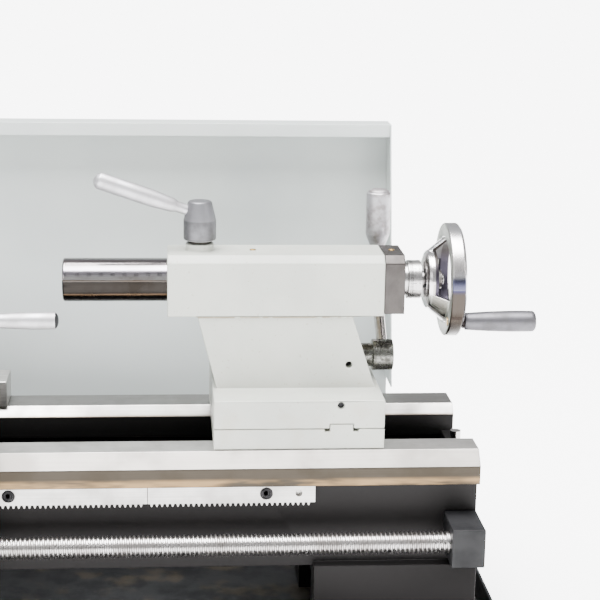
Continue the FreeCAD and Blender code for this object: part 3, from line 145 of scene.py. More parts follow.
# What each finish is. tone and deep are its colour and the colour of its patches (linear),
# patch the size of the patches per metre, grain and grainDepth its fine bump, wave a slow
# bump, streak how far its grinding or turning marks stretch on x, y and z, and how strong,
# coat a thin varnish, and shine the mirror part of a black one.
finishes = {
    "enamel": {"tone": (0.435, 0.445, 0.40), "deep": (0.385, 0.395, 0.357), "metal": 0.0,
               "rough": (0.36, 0.50), "patch": 14, "grain": 420, "grainDepth": 0.00003,
               "wave": 70, "waveDepth": 0.00012, "coat": 0.12},
    "guardEnamel": {"tone": (0.56, 0.599, 0.582), "deep": (0.493, 0.532, 0.526), "metal": 0.0,
                    "rough": (0.30, 0.42), "patch": 5, "grain": 700, "grainDepth": 0.00002,
                    "wave": 16, "waveDepth": 0.0006, "coat": 0.2},
    "groundIron": {"tone": (0.52, 0.505, 0.485), "deep": (0.36, 0.345, 0.33), "metal": 0.9,
                   "rough": (0.28, 0.46), "patch": 30, "grain": 900, "grainDepth": 0.00001,
                   "streak": (4, 500, 500), "streakDepth": 0.00003, "streakTone": 0.5},
    "polishedSteel": {"tone": (0.62, 0.60, 0.59), "deep": (0.42, 0.39, 0.37), "metal": 1.0,
                      "rough": (0.13, 0.24), "patch": 40, "grain": 1500, "grainDepth": 0.000004,
                      "streak": (6, 420, 420), "streakDepth": 0.000006, "streakTone": 0.45},
    "turnedSteel": {"tone": (0.52, 0.505, 0.50), "deep": (0.34, 0.32, 0.31), "metal": 1.0,
                    "rough": (0.22, 0.36), "patch": 40, "grain": 1400, "grainDepth": 0.000006,
                    "streak": (1600, 9, 9), "streakDepth": 0.00001, "streakTone": 0.4},
    "groundSteel": {"tone": (0.44, 0.425, 0.415), "deep": (0.27, 0.25, 0.24), "metal": 0.95,
                    "rough": (0.30, 0.46), "patch": 45, "grain": 1200, "grainDepth": 0.00001,
                    "streak": (500, 500, 6), "streakDepth": 0.00001, "streakTone": 0.3},
    "capSteel": {"tone": (0.062, 0.056, 0.053), "deep": (0.046, 0.041, 0.039), "metal": 0.85,
                 "rough": (0.36, 0.5), "patch": 60, "grain": 900, "grainDepth": 0.00002,
                 "streak": (500, 30, 700), "streakDepth": 0.00001, "streakTone": 0.25},
    "blasted": {"tone": (0.50, 0.495, 0.515), "deep": (0.40, 0.39, 0.40), "metal": 0.9,
                "rough": (0.42, 0.56), "patch": 60, "grain": 1500, "grainDepth": 0.00004},
    "hubGrey": {"tone": (0.125, 0.125, 0.133), "deep": (0.085, 0.083, 0.087), "metal": 0.85,
                "rough": (0.42, 0.55), "patch": 70, "grain": 1300, "grainDepth": 0.00004},
    "crankGrey": {"tone": (0.115, 0.112, 0.123), "deep": (0.088, 0.085, 0.091), "metal": 0.9,
                  "rough": (0.42, 0.55), "patch": 60, "grain": 1500, "grainDepth": 0.00004},
    "knobGrey": {"tone": (0.42, 0.41, 0.43), "deep": (0.26, 0.235, 0.235), "metal": 0.85,
                 "rough": (0.40, 0.56), "patch": 95, "grain": 1100, "grainDepth": 0.00006},
    "brightAluminium": {"tone": (0.78, 0.77, 0.79), "deep": (0.60, 0.57, 0.56), "metal": 1.0,
                        "rough": (0.12, 0.26), "patch": 30, "grain": 1400,
                        "grainDepth": 0.000006, "streak": (1500, 8, 8), "streakDepth": 0.000008,
                        "streakTone": 0.3},
    "darkSteel": {"tone": (0.13, 0.12, 0.115), "deep": (0.06, 0.052, 0.047), "metal": 0.9,
                  "rough": (0.26, 0.46), "patch": 120, "grain": 900, "grainDepth": 0.00004},
    "oilySteel": {"tone": (0.17, 0.17, 0.155), "deep": (0.05, 0.048, 0.042), "metal": 0.85,
                  "rough": (0.22, 0.40), "patch": 190, "grain": 700, "grainDepth": 0.00008},
    "blackSteel": {"tone": (0.018, 0.017, 0.018), "deep": (0.008, 0.008, 0.009), "metal": 0.6,
                   "rough": (0.30, 0.46), "patch": 150, "grain": 1200, "grainDepth": 0.00003,
                   "shine": 0.18},
    "blackPaint": {"tone": (0.014, 0.014, 0.015), "deep": (0.007, 0.007, 0.008), "metal": 0.0,
                   "rough": (0.40, 0.60), "patch": 30, "grain": 500, "grainDepth": 0.00006,
                   "shine": 0.18},
    "brass": {"tone": (0.62, 0.42, 0.17), "deep": (0.36, 0.22, 0.08), "metal": 1.0,
              "rough": (0.22, 0.40), "patch": 300, "grain": 1500, "grainDepth": 0.00002},
    "bronze": {"tone": (0.42, 0.25, 0.12), "deep": (0.24, 0.13, 0.06), "metal": 1.0,
               "rough": (0.28, 0.44), "patch": 120, "grain": 1200, "grainDepth": 0.00002},
    "redPlastic": {"tone": (0.52, 0.02, 0.015), "deep": (0.40, 0.014, 0.012), "metal": 0.0,
                   "rough": (0.28, 0.40), "patch": 60, "grain": 1600, "grainDepth": 0.00001},
    "blackPlastic": {"tone": (0.022, 0.022, 0.024), "deep": (0.014, 0.014, 0.015),
                     "metal": 0.0, "rough": (0.42, 0.56), "patch": 60, "grain": 1500,
                     "grainDepth": 0.00004, "shine": 0.18},
    "rubber": {"tone": (0.020, 0.019, 0.018), "deep": (0.035, 0.032, 0.030), "metal": 0.0,
               "rough": (0.62, 0.80), "patch": 70, "grain": 900, "grainDepth": 0.00005},
    "gearSteel": {"tone": (0.30, 0.29, 0.28), "deep": (0.16, 0.14, 0.12), "metal": 0.95,
                  "rough": (0.28, 0.44), "patch": 90, "grain": 900, "grainDepth": 0.00002},
    "ink": {"tone": (0.006, 0.006, 0.006), "deep": (0.012, 0.011, 0.010), "metal": 1.0,
            "rough": (0.45, 0.6), "patch": 900, "grain": 2500, "grainDepth": 0.000004},
}
finishOfSlot = {
    "ground_cast_iron": "groundIron", "grey_green_enamel": "enamel",
    "polished_steel": "polishedSteel", "blasted_aluminium": "blasted",
    "polished_aluminium": "brightAluminium", "dark_steel": "darkSteel",
    "black_steel": "blackSteel", "ground_steel": "groundSteel", "black_paint": "blackPaint",
    "brass": "brass", "bronze": "bronze", "red_plastic": "redPlastic",
    "black_plastic": "blackPlastic", "belt_rubber": "rubber", "gear_steel": "gearSteel",
}
wear = {"patches": (0.38, 0.68), "lines": (0.42, 0.66), "bump": 0.8, "coatRough": 0.2,
        "plainShine": 0.5}
materials = {}  # finishes made so far, by label


# Builds a finish: colour = tone mixed to deep by slow noise and by its streaks, roughness
# between its two limits by another noise, bump = grain + wave + streaks. marks(tree, place,
# colour, rough) may then lay soiling, painted shade, painted highlights, painted reflections
# or a second finish over it and returns both again.
def finish(name, marks=None, label=None):
    label = label or name
    if label in materials:
        return materials[label]
    look = finishes[name]
    material = bpy.data.materials.new(label)
    material.use_nodes = True
    tree = material.node_tree
    tree.nodes.clear()
    place = addNode(tree, "ShaderNodeTexCoord", None, None, "Object")
    patches = noise(tree, place, look["patch"], 4.0)
    worn = ease(patches, *wear["patches"])
    colour = mixColour(tree, worn, rgb(look["tone"]), rgb(look["deep"]))
    fine = noise(tree, place, look["grain"], 2.0)
    rough = worn * 0.6 + fine * 0.4
    height = fine * look["grainDepth"]
    if "wave" in look:
        height = height + noise(tree, place, look["wave"], 1.0) * look["waveDepth"]
    if "streak" in look:
        lines = noise(tree, place, 1.0, 2.0, look["streak"])
        height = height + lines * look["streakDepth"]
        drawn = ease(lines, *wear["lines"]) * look["streakTone"]
        colour = mixColour(tree, drawn, colour, rgb(look["deep"]))
        rough = rough * 0.7 + lines * 0.3
    low, high = look["rough"]
    rough = rough * (high - low) + low
    if marks:
        colour, rough = marks(tree, place, colour, rough)
    bump = addNode(tree, "ShaderNodeBump", None,
                   {"Height": height, "Distance": 1.0, "Strength": wear["bump"]})
    sockets = {"Base Color": colour, "Roughness": rough, "Metallic": look["metal"],
               "Normal": bump, "Coat Weight": look.get("coat", 0.0),
               "Coat Roughness": wear["coatRough"],
               "Specular IOR Level": look.get("shine", wear["plainShine"])}
    shader = addNode(tree, "ShaderNodeBsdfPrincipled", None, sockets)
    addNode(tree, "ShaderNodeOutputMaterial", None, {"Surface": shader})
    materials[label] = material
    return material


# a plain sheet of pale paper that glows a little, just under the tray
def makeFloor():
    paper = {"half": 60.0, "sink": 0.0003, "cloud": 3.0, "dark": (0.955, 0.955, 0.955),
             "light": (0.965, 0.965, 0.965), "glow": 2.4, "rough": 0.9, "shine": 0.1}
    mesh = bpy.data.meshes.new("floor")
    corners = [(-1, -1), (1, -1), (1, 1), (-1, 1)]
    mesh.from_pydata([(x * paper["half"], y * paper["half"], -paper["sink"])
                      for x, y in corners], [], [(0, 1, 2, 3)])
    floor = bpy.data.objects.new("floor", mesh)
    bpy.context.scene.collection.objects.link(floor)
    material = bpy.data.materials.new("floorPaper")
    material.use_nodes = True
    tree = material.node_tree
    shader = tree.nodes["Principled BSDF"]
    place = addNode(tree, "ShaderNodeTexCoord", None, None, "Object")
    cloud = noise(tree, place, paper["cloud"])
    tone = mixColour(tree, cloud, rgb(paper["dark"]), rgb(paper["light"]))
    tree.links.new(tone.socket, shader.inputs["Base Color"])
    shader.inputs["Emission Color"].default_value = (1, 1, 1, 1)
    shader.inputs["Emission Strength"].default_value = paper["glow"]
    shader.inputs["Roughness"].default_value = paper["rough"]
    shader.inputs["Specular IOR Level"].default_value = paper["shine"]
    mesh.materials.append(material)


# two weak soft boxes, a broad soft sun from nearly overhead, and an even pale surround
def makeLight():
    softBoxes = {  # place, aim, size, watts, colour
        "frontLeft": ((-1.4, -2.4, 1.6), (0.3, 0.0, 0.3), 1.3, 11, (0.98, 0.99, 1.0)),
        "right": ((2.0, -1.2, 1.5), (0.4, 0.0, 0.3), 0.9, 12, (1.0, 0.98, 0.96)),
    }
    for name, (place, aim, size, watts, colour) in softBoxes.items():
        light = bpy.data.objects.new(name, bpy.data.lights.new(name, "AREA"))
        light.data.shape, light.data.size = "DISK", size
        light.data.energy, light.data.color = watts, colour
        light.location = place
        aimAt = Vector(aim) - Vector(place)
        light.rotation_euler = aimAt.to_track_quat("-Z", "Y").to_euler()
        bpy.context.scene.collection.objects.link(light)
    ceiling = {"strength": 17.0, "spread": 50, "lean": (-0.12, -0.10, 1.0)}
    surround = {"colour": (0.97, 0.985, 1), "strength": 0.55}
    sun = bpy.data.objects.new("ceiling", bpy.data.lights.new("ceiling", "SUN"))
    sun.data.energy, sun.data.angle = ceiling["strength"], math.radians(ceiling["spread"])
    sun.rotation_euler = Vector(ceiling["lean"]).to_track_quat("Z", "Y").to_euler()
    bpy.context.scene.collection.objects.link(sun)
    world = bpy.data.worlds.new("studio")
    bpy.context.scene.world = world
    world.use_nodes = True
    backdrop = world.node_tree.nodes["Background"]
    backdrop.inputs["Color"].default_value = rgb(surround["colour"])
    backdrop.inputs["Strength"].default_value = surround["strength"]


makeCamera()
makeFloor()
makeLight()
print("camera, floor and light are up")


# turns a profile of (along, radius) about an axis through centre: x = along, and the other
# two coordinates are radius * cos and sin of the angle; hexes marks rows with six flats
def turned(profile, centre=(0, 0, 0), axis="x", steps=96, hexes=None):
    profile = np.array(profile, float)
    angle = np.arange(steps) * 2 * math.pi / steps
    radius = np.repeat(profile[:, 1:2], steps, axis=1)
    if hexes is not None:
        flat = math.cos(math.pi / 6) / np.cos((angle % (math.pi / 3)) - math.pi / 6)
        share = np.array(hexes, float)[:, None]
        radius = radius * (1 - share + share * flat[None, :])
    along = np.repeat(profile[:, 0:1], steps, axis=1)
    u, v = radius * np.cos(angle), radius * np.sin(angle)
    order = {"x": (along, u, v), "y": (v, along, u), "z": (u, v, along)}[axis]
    points = np.stack(order, axis=-1) + np.array(centre)
    return gridFaces(points, wrap=True)


# quads between neighbouring points of a rows x columns grid; wrap joins last column to first
def gridFaces(points, wrap=False):
    rows, columns = points.shape[:2]
    index = np.arange(rows * columns).reshape(rows, columns)
    if wrap:
        index = np.hstack([index, index[:, :1]])
    quads = np.stack([index[:-1, :-1], index[1:, :-1], index[1:, 1:], index[:-1, 1:]], axis=-1)
    return points.reshape(-1, 3), quads.reshape(-1, 4)


# rounds the inner corners of a profile: each becomes a curve whose points are
# (1-t)^2 before + 2t(1-t) corner + t^2 after, with before and after reach away from it
def rounded(profile, reach, steps=5):
    profile = np.array(profile, float)
    t = np.linspace(0, 1, steps)[:, None]
    pieces = [profile[:1]]
    for before, corner, after in zip(profile[:-2], profile[1:-1], profile[2:]):
        back, on = before - corner, after - corner
        backLength, onLength = np.linalg.norm(back), np.linalg.norm(on)
        start = corner + back * min(reach, 0.45 * backLength) / backLength
        end = corner + on * min(reach, 0.45 * onLength) / onLength
        pieces.append((1 - t) ** 2 * start + 2 * t * (1 - t) * corner + t ** 2 * end)
    pieces.append(profile[-1:])
    return np.vstack(pieces)


# boxes given as rows of low and high corners, all at once: each corner = low + pick * (high
# - low), where pick is 0 or 1 on each axis
def boxes(lows, highs):
    lows, highs = np.array(lows, float).reshape(-1, 3), np.array(highs, float).reshape(-1, 3)
    pick = np.array([[0, 0, 0], [1, 0, 0], [1, 1, 0], [0, 1, 0],
                     [0, 0, 1], [1, 0, 1], [1, 1, 1], [0, 1, 1]])
    points = lows[:, None, :] + pick[None] * (highs - lows)[:, None, :]
    sides = np.array([[0, 3, 2, 1], [4, 5, 6, 7], [0, 1, 5, 4], [1, 2, 6, 5], [2, 3, 7, 6],
                      [3, 0, 4, 7]])
    faces = sides[None] + np.arange(len(lows))[:, None, None] * 8
    return points.reshape(-1, 3), faces.reshape(-1, 4)


# wraps flat strokes round a bar along x: u stays along the bar, v runs round it at the
# given radius from the given angle (0 is straight to the front, 90 degrees is up)
def wrapRound(points, radius, angle, centre):
    points = np.array(points, float)
    turn = angle + points[:, 1] / radius
    reach = radius + points[:, 2]
    return np.stack([centre[0] + points[:, 0], centre[1] - reach * np.cos(turn),
                     centre[2] + reach * np.sin(turn)], axis=-1)


# puts point and face arrays together as one piece, closes its seams, turns its faces out
def makePiece(name, shapes, material, node, smooth=35, standsFor=()):
    seam = {"join": 1e-6, "sliver": 1e-7}
    points, faces, offset = [], [], 0
    for shapePoints, shapeFaces in shapes:
        points.append(shapePoints)
        faces += (np.array(shapeFaces) + offset).tolist()
        offset += len(shapePoints)
    mesh = bpy.data.meshes.new(name)
    mesh.from_pydata(np.vstack(points).tolist(), [], faces)
    work = bmesh.new()
    work.from_mesh(mesh)
    bmesh.ops.remove_doubles(work, verts=work.verts, dist=seam["join"])
    bmesh.ops.dissolve_degenerate(work, edges=work.edges, dist=seam["sliver"])
    bmesh.ops.recalc_face_normals(work, faces=work.faces)
    work.to_mesh(mesh)
    work.free()
    mesh.materials.append(material)
    mesh.shade_smooth()
    mesh.set_sharp_from_angle(angle=math.radians(smooth))
    piece = bpy.data.objects.new(name, mesh)
    bpy.context.scene.collection.objects.link(piece)
    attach(piece, bodyOf[node])
    if standsFor:
        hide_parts(*standsFor)


# a copy of a CAD node with its triangles joined into whole faces and its edges rounded: an
# edge that bends more than bend degrees gets an arc of the given width
rounding = {"join": 3e-6, "flat": 0.6, "segments": 2, "bend": 32}


def refine(node, material, edge):
    work = bmesh.new()
    work.from_mesh(frame["nodes"][node].data)
    bmesh.ops.remove_doubles(work, verts=work.verts, dist=rounding["join"])
    bmesh.ops.dissolve_limit(work, angle_limit=math.radians(rounding["flat"]),
                             verts=work.verts, edges=work.edges)
    bend = math.radians(rounding["bend"])
    mesh = bpy.data.meshes.new(node + "_fine")
    work.to_mesh(mesh)
    work.free()
    mesh.materials.append(material)
    mesh.shade_smooth()
    mesh.set_sharp_from_angle(angle=bend)
    piece = bpy.data.objects.new(node + "_fine", mesh)
    bpy.context.scene.collection.objects.link(piece)
    if edge:
        bevel = piece.modifiers.new("edges", "BEVEL")
        bevel.width, bevel.segments = edge, rounding["segments"]
        bevel.limit_method, bevel.angle_limit = "ANGLE", bend
        bevel.use_clamp_overlap = False
        bevel.harden_normals = True
    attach(piece, bodyOf[node])
    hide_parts(node)


# Marks lay soiling, painted shade, painted highlights, painted reflections or a second finish
# over a plain one. Each takes the piece's own coordinates and returns the colour and the
# roughness again. Heights for the barrel, the hub and the handwheel are from the spindle axis,
# and places along x from the mouth of the tailstock.
def axes(tree, place):
    return [addNode(tree, "ShaderNodeSeparateXYZ", None, {0: place}, i) for i in range(3)]


# distance from the spindle axis: the root of the two squares
def offAxis(y, z):
    return (y ** 2 + (z - axisZ) ** 2) ** 0.5


soil = {"oil": (0.20, 0.15, 0.085), "rust": (0.30, 0.19, 0.09)}
enamelLook = {  # corner is a height from the spindle axis, filmTop one from the bench
    "specks": 330, "corner": -0.0292, "ragged": 160, "film": 36, "filmTop": 0.262,
    "filmDeep": 0.035,
}


# specks, a ragged brown line along the corner under the barrel, and a cloudy film of oil low on
# the base
def enamelMarks(tree, place, colour, rough):
    x, y, z = axes(tree, place)
    specks = noise(tree, place, enamelLook["specks"], 1.0)
    colour = mixColour(tree, ease(specks, 0.70, 0.74) * 0.35, colour, rgb(soil["oil"]))
    ragged = noise(tree, place, enamelLook["ragged"], 3.0)
    corner = band(z, axisZ + enamelLook["corner"], 0.0006, 0.0009) * ease(ragged, 0.30, 0.55)
    colour = mixColour(tree, corner * 0.75, colour, rgb(soil["oil"]))
    film = noise(tree, place, enamelLook["film"], 3.0)
    below = ease(enamelLook["filmTop"] - z, 0.0, enamelLook["filmDeep"])
    low = below * ease(film, 0.50, 0.70)
    colour = mixColour(tree, low * 0.16, colour, rgb(soil["rust"]))
    return colour, rough + low * -0.06


bedLook = {  # heights here are from the bench, the other limits are places along y
    "paint": (0.016, 0.015, 0.015), "paintTop": (0.1700, 0.1716), "wallHalf": 0.05105,
    "wallTop": (0.1902, 0.1908), "front": (-0.0938, -0.0935), "frontShadeTone": (0.024, 0.018, 0.011),
    "slopeShade": (-0.0815, -0.0808), "slopeShadeTone": (0.12, 0.110, 0.098),
    "rearFlatShade": (0.0599, 0.0602), "rearShadeTone": (0.11, 0.107, 0.102),
    "seamTop": (0.1745, 0.1790), "rearSeam": (0.1912, 0.1928),
}


def bedPaintOilAndShade(tree, place, colour, rough):
    x, y, z = axes(tree, place)
    look = bedLook
    # below the ways the casting is painted; so are the walls of the gap between them
    ragged = noise(tree, place, 55, 3.0)
    underWays = 1 - ease(z + ragged * 0.0012, *look["paintTop"])
    innerWall = band(y, 0.0, look["wallHalf"], 0.0002) * (1 - ease(z, *look["wallTop"]))
    painted = clampUnit(underWays + innerWall)
    # painted shade: the front face and the rear flat are painted darker than the front way
    front = 1 - ease(y, *look["front"])
    colour = mixColour(tree, front * 0.97, colour, rgb(look["frontShadeTone"]))
    rearFlatShade = ease(y, *look["rearFlatShade"])
    colour = mixColour(tree, rearFlatShade * 0.8, colour, rgb(look["rearShadeTone"]))
    # yellow-brown oil drawn out along the lower edges of the ground faces
    streaky = noise(tree, place, 1.0, 3.0, (14, 90, 90))
    seam = (1 - ease(z, *look["seamTop"])) * front * ease(streaky, 0.36, 0.60)
    rearEdge = (1 - ease(z, *look["rearSeam"])) * (y > 0.0) * ease(streaky, 0.30, 0.62)
    colour = mixColour(tree, clampUnit(seam * 0.6 + rearEdge * 0.5), colour, rgb(soil["rust"]))
    # painted shade: the sloped cut of the front way is painted darker than its flat
    slopeShade = (1 - ease(y, *look["slopeShade"])) * (1 - front)
    colour = mixColour(tree, slopeShade * 0.85, colour, rgb(look["slopeShadeTone"]))
    colour = mixColour(tree, painted, colour, rgb(look["paint"]))
    return colour, rough * (1 - painted) + painted * 0.5


# colours and heights of the painted reflections and the painted shade on the polished barrel
quillReflectionLook = {
    "reflectedBrownTop": (0.0018, 0.0032), "brown": (0.006, 0.0044, 0.0030),
    "reflectedTanLow": -0.0108, "reflectedTanHigh": 0.0030, "reflectedTan": (0.11, 0.070, 0.042),
    "shadeFrom": (0.0082, 0.0092), "shade": (0.13, 0.12, 0.135),
    "reflectedDarkLine": 0.0175, "dark": (0.16, 0.14, 0.14), "reflectedMauveLine": 0.0105,
    "reflectedMauve": (0.42, 0.38, 0.45),
}


# painted reflections and shade, in long bands that run with the bar: the lower half is painted
# dark brown, with light brown, dark and purplish bands, and a painted shade over the top
def quillPaintedReflections(tree, place, colour, rough):
    x, y, z = axes(tree, place)
    look = quillReflectionLook
    wander = noise(tree, place, 1.0, 2.0, (9, 160, 160))
    height = z + wander * 0.0016 - (axisZ + 0.0008)
    reflectedBrownShare = 1 - ease(height, *look["reflectedBrownTop"])
    reflectedTanBands = clampUnit(band(height, look["reflectedTanLow"], 0.0009, 0.0005)
                         + band(height, look["reflectedTanHigh"], 0.0005, 0.0004))
    shade = ease(height, *look["shadeFrom"])
    reflectedDarkBand = band(height, look["reflectedDarkLine"], 0.0011, 0.0008)
    reflectedMauve = band(height, look["reflectedMauveLine"], 0.0030, 0.0012)
    colour = mixColour(tree, shade * 0.72, colour, rgb(look["shade"]))
    colour = mixColour(tree, reflectedBrownShare * 0.98, colour, rgb(look["brown"]))
    colour = mixColour(tree, reflectedTanBands * 0.75, colour, rgb(look["reflectedTan"]))
    colour = mixColour(tree, reflectedDarkBand * 0.7, colour, rgb(look["dark"]))
    colour = mixColour(tree, reflectedMauve * 0.35, colour, rgb(look["reflectedMauve"]))
    return colour, rough + reflectedBrownShare * 0.08


hubPaintedLight = {"collarTop": (0.0374, 0.0377), "collar": (0.02, 0.018, 0.016),
           "chamferHighlightAt": 0.0379, "chamfer": (0.75, 0.75, 0.77),
           "coneLightFrom": (0.0555, 0.0570), "cone": (0.22, 0.22, 0.235)}


# painted shade and highlights: the ring under the hub is painted black as shade, its chamfer gets
# a painted highlight, and the hub's cone is painted a little lighter as light on it
def hubPaintedShadeAndHighlight(tree, place, colour, rough):
    x, y, z = axes(tree, place)
    height = z - axisZ
    collar = 1 - ease(height, *hubPaintedLight["collarTop"])
    cone = ease(height, *hubPaintedLight["coneLightFrom"])
    chamfer = band(height, hubPaintedLight["chamferHighlightAt"], 0.0003, 0.0003)
    colour = mixColour(tree, cone * 0.5, colour, rgb(hubPaintedLight["cone"]))
    colour = mixColour(tree, chamfer * 0.7, colour, rgb(hubPaintedLight["chamfer"]))
    return mixColour(tree, collar, colour, rgb(hubPaintedLight["collar"])), rough


wheelLook = {
    "castTo": (0.2584, 0.2590), "castFrom": (0.0382, 0.0386), "cast": (0.36, 0.37, 0.345),
    "coneStart": 0.2430, "coneLength": 0.0158, "coneRadius": 0.0273, "coneRise": 0.0122,
    "wall": (-0.0011, -0.0004), "hollowFrom": (0.2462, 0.2472), "hollow": (0.008, 0.0055, 0.004),
    "lavenderReflectionTop": (0.002, 0.024), "lavenderReflection": (0.060, 0.054, 0.074),
    "rimFrom": (0.0515, 0.0522), "footReflectionTop": (0.0004, 0.0020), "foot": (0.022, 0.015, 0.0095),
    "bluedReflectionAt": 0.0060, "bluedReflection": (0.024, 0.026, 0.070), "dimReflectionAt": -0.0265,
    "dimReflection": (0.02, 0.014, 0.012), "armTo": (0.0385, 0.0392), "armFrom": (0.2440, 0.2450),
    "arm": (0.16, 0.145, 0.11),
}


def wheelCastFaceAndPaintedLight(tree, place, colour, rough):
    x, y, z = axes(tree, place)
    look, reach = wheelLook, offAxis(y, z)
    along, height = x - tailX, z - axisZ
    # the headstock side of the rim is left as cast and painted grey, the rest is polished
    face = (1 - ease(along, *look["castTo"])) * ease(reach, *look["castFrom"])
    colour = mixColour(tree, face, colour, rgb(look["cast"]))
    # painted shade inside the cone and the rim: dark brown above, with a painted greyish-purple
    # reflection below; the cone's outer radius grows evenly along x, and what lies well inside it
    # gets the painted shade
    share = clampUnit((along - look["coneStart"]) * (1 / look["coneLength"]))
    wall = share * look["coneRise"] + look["coneRadius"]
    inside = 1 - ease(reach - wall, *look["wall"])
    hollow = ease(along, *look["hollowFrom"]) * inside
    low = 1 - ease(height, *look["lavenderReflectionTop"])
    colour = mixColour(tree, hollow * 0.98, colour, rgb(look["hollow"]))
    colour = mixColour(tree, hollow * low * 0.8, colour, rgb(look["lavenderReflection"]))
    # painted reflections on the polished outside: dark brown below the axis, a bluish band just
    # above it and a dark band lower down
    rim = ease(reach, *look["rimFrom"])
    foot = 1 - ease(height, *look["footReflectionTop"])
    bluedReflection = band(height, look["bluedReflectionAt"], 0.0036, 0.0060)
    dimReflection = band(height, look["dimReflectionAt"], 0.0012, 0.0010)
    colour = mixColour(tree, rim * foot * 0.97, colour, rgb(look["foot"]))
    colour = mixColour(tree, rim * bluedReflection * 0.94, colour, rgb(look["bluedReflection"]))
    colour = mixColour(tree, rim * dimReflection * 0.6, colour, rgb(look["dimReflection"]))
    # and a weaker painted brown reflection on the lower spokes
    arm = (1 - ease(reach, *look["armTo"])) * (1 - hollow) * ease(along, *look["armFrom"])
    colour = mixColour(tree, arm * foot * 0.55, colour, rgb(look["arm"]))
    return colour, clampUnit(rough + face * 0.22 + hollow * 0.20 + rim * 0.06)


# brass shows at the wheel's face only; past it the washer is black
def studMarks(tree, place, colour, rough):
    stud = {"brassTo": (0.2592, 0.2596), "black": (0.012, 0.010, 0.010)}
    x, y, z = axes(tree, place)
    past = ease(x - tailX, *stud["brassTo"])
    return mixColour(tree, past, colour, rgb(stud["black"])), rough


# painted reflection: the guard is painted bluer low down, under a thin cloudy film; reflectionTop
# is a height from the bench
def guardReflectionAndFilm(tree, place, colour, rough):
    guard = {"reflectionTop": 0.40, "reflectionDeep": 0.16, "reflectedBlue": (0.57, 0.62, 0.64), "cloud": 7,
             "film": (0.42, 0.43, 0.40)}
    x, y, z = axes(tree, place)
    film = noise(tree, place, guard["cloud"], 3.0)
    low = ease(guard["reflectionTop"] - z, 0.0, guard["reflectionDeep"])
    colour = mixColour(tree, low * 0.35, colour, rgb(guard["reflectedBlue"]))
    return mixColour(tree, ease(film, 0.52, 0.66) * 0.10, colour, rgb(guard["film"])), rough


# wet patches are lighter and smoother
def oilyMarks(tree, place, colour, rough):
    oil = {"patch": 240, "tone": (0.26, 0.27, 0.22)}
    wet = noise(tree, place, oil["patch"], 2.0)
    colour = mixColour(tree, ease(wet, 0.58, 0.66) * 0.5, colour, rgb(oil["tone"]))
    return colour, rough - ease(wet, 0.5, 0.6) * 0.08


# splashes of oil on the tray's floor only
def trayMarks(tree, place, colour, rough):
    tray = {"splash": 26, "floorTo": (0.004, 0.012)}
    x, y, z = axes(tree, place)
    splash = noise(tree, place, tray["splash"], 3.0)
    floorShare = 1 - ease(z, *tray["floorTo"])
    wet = ease(splash, 0.50, 0.66) * floorShare * 0.10
    return mixColour(tree, wet, colour, rgb(soil["oil"])), rough


# CAD nodes that keep their shape: the rounding of their edges in metres, the marks laid over
# and a finish in place of their slot's own
edges = {
    "bed_casting": (0.0006, bedPaintOilAndShade, "groundIron"), "tailstock_body": (0.0014, enamelMarks, None),
    "tailstock_base": (0.0010, enamelMarks, None), "tailstock_end_cap": (0.0010, None, "capSteel"),
    "splash_guard": (0.0005, guardReflectionAndFilm, "guardEnamel"), "chip_tray": (0.0008, trayMarks, None),
    "headstock_casting": (0.0030, enamelMarks, None), "headstock_lid": (0.0018, enamelMarks, None),
    "saddle": (0.0012, None, None), "apron": (0.0020, enamelMarks, None),
    "switch_box": (0.0030, None, None), "motor": (0.0012, None, None),
    "gear_cover": (0.0008, enamelMarks, None), "chuck_body": (0.0010, None, None),
    "cross_slide": (0.0008, None, None), "compound_swivel": (0.0008, None, None),
    "compound_slide": (0.0008, None, None), "tool_post": (0.0008, None, None),
    "tool_post_lever": (0.0008, None, None), "compound_crank": (0.0008, None, None),
    "cross_handwheel": (0.0010, None, None), "apron_handwheel": (0.0010, None, None),
    "half_nut_lever": (0.0008, None, None), "clamp_plate": (0.0008, None, None),
    "clamp_bolt": (0.0005, None, None), "leadscrew_brackets": (0.0010, None, None),
    "gear_backplate": (0.0008, None, None), "cam_shaft": (0.0008, oilyMarks, "oilySteel"),
    "quill_lock_hub": (0.0008, hubPaintedShadeAndHighlight, "hubGrey"), "quill_lock_arm": (0.0007, None, "blasted"),
    "tailstock_handwheel": (0.0007, wheelCastFaceAndPaintedLight, "brightAluminium"),
    "quill": (0.0006, quillPaintedReflections, "polishedSteel"),
    "tailstock_dial": (0.0004, None, "turnedSteel"), "crank_stud": (0.0003, studMarks, None),
    "quill_screw": (0.0004, None, "turnedSteel"), "cam_lever": (0, None, "polishedSteel"),
    "stop_button": (0.0010, None, None), "spindle": (0.0005, None, "turnedSteel"),
    "spindle_pulley": (0.0005, None, None), "motor_pulley": (0.0005, None, None),
    "gear_rack": (0.0003, None, "groundIron"),
}


madeAnew = {"crank_handle", "cam_lever_knob", "compound_handle", "handwheel_nut",
            "rack_screws", "tailstock_oilers", "leadscrew"}


# every other node shows its own CAD mesh, or a copy of it with rounded edges
def dressNodes():
    for node in bodyOf:
        if node in madeAnew:
            continue
        edge, marks, other = edges.get(node, (None, None, None))
        name = other or finishOfSlot[slotOf[node]]
        label = name + "_" + marks.__name__ if marks else name
        coat = finish(name, marks, label)
        if edge is None:
            mesh = frame["nodes"][node].data
            mesh.materials.clear()
            mesh.materials.append(coat)
        else:
            refine(node, coat, edge)
    print("CAD nodes dressed: %d" % (len(bodyOf) - len(madeAnew)))


# middle of a CAD node's box, with its low and high corners
def middleOf(node):
    low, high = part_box(node)
    return [(a + b) / 2 for a, b in zip(low, high)], low, high


# points of a CAD node's mesh as one array
def pointsOf(node):
    mesh = frame["nodes"][node].data
    points = np.empty(len(mesh.vertices) * 3)
    mesh.vertices.foreach_get("co", points)
    return points.reshape(-1, 3)


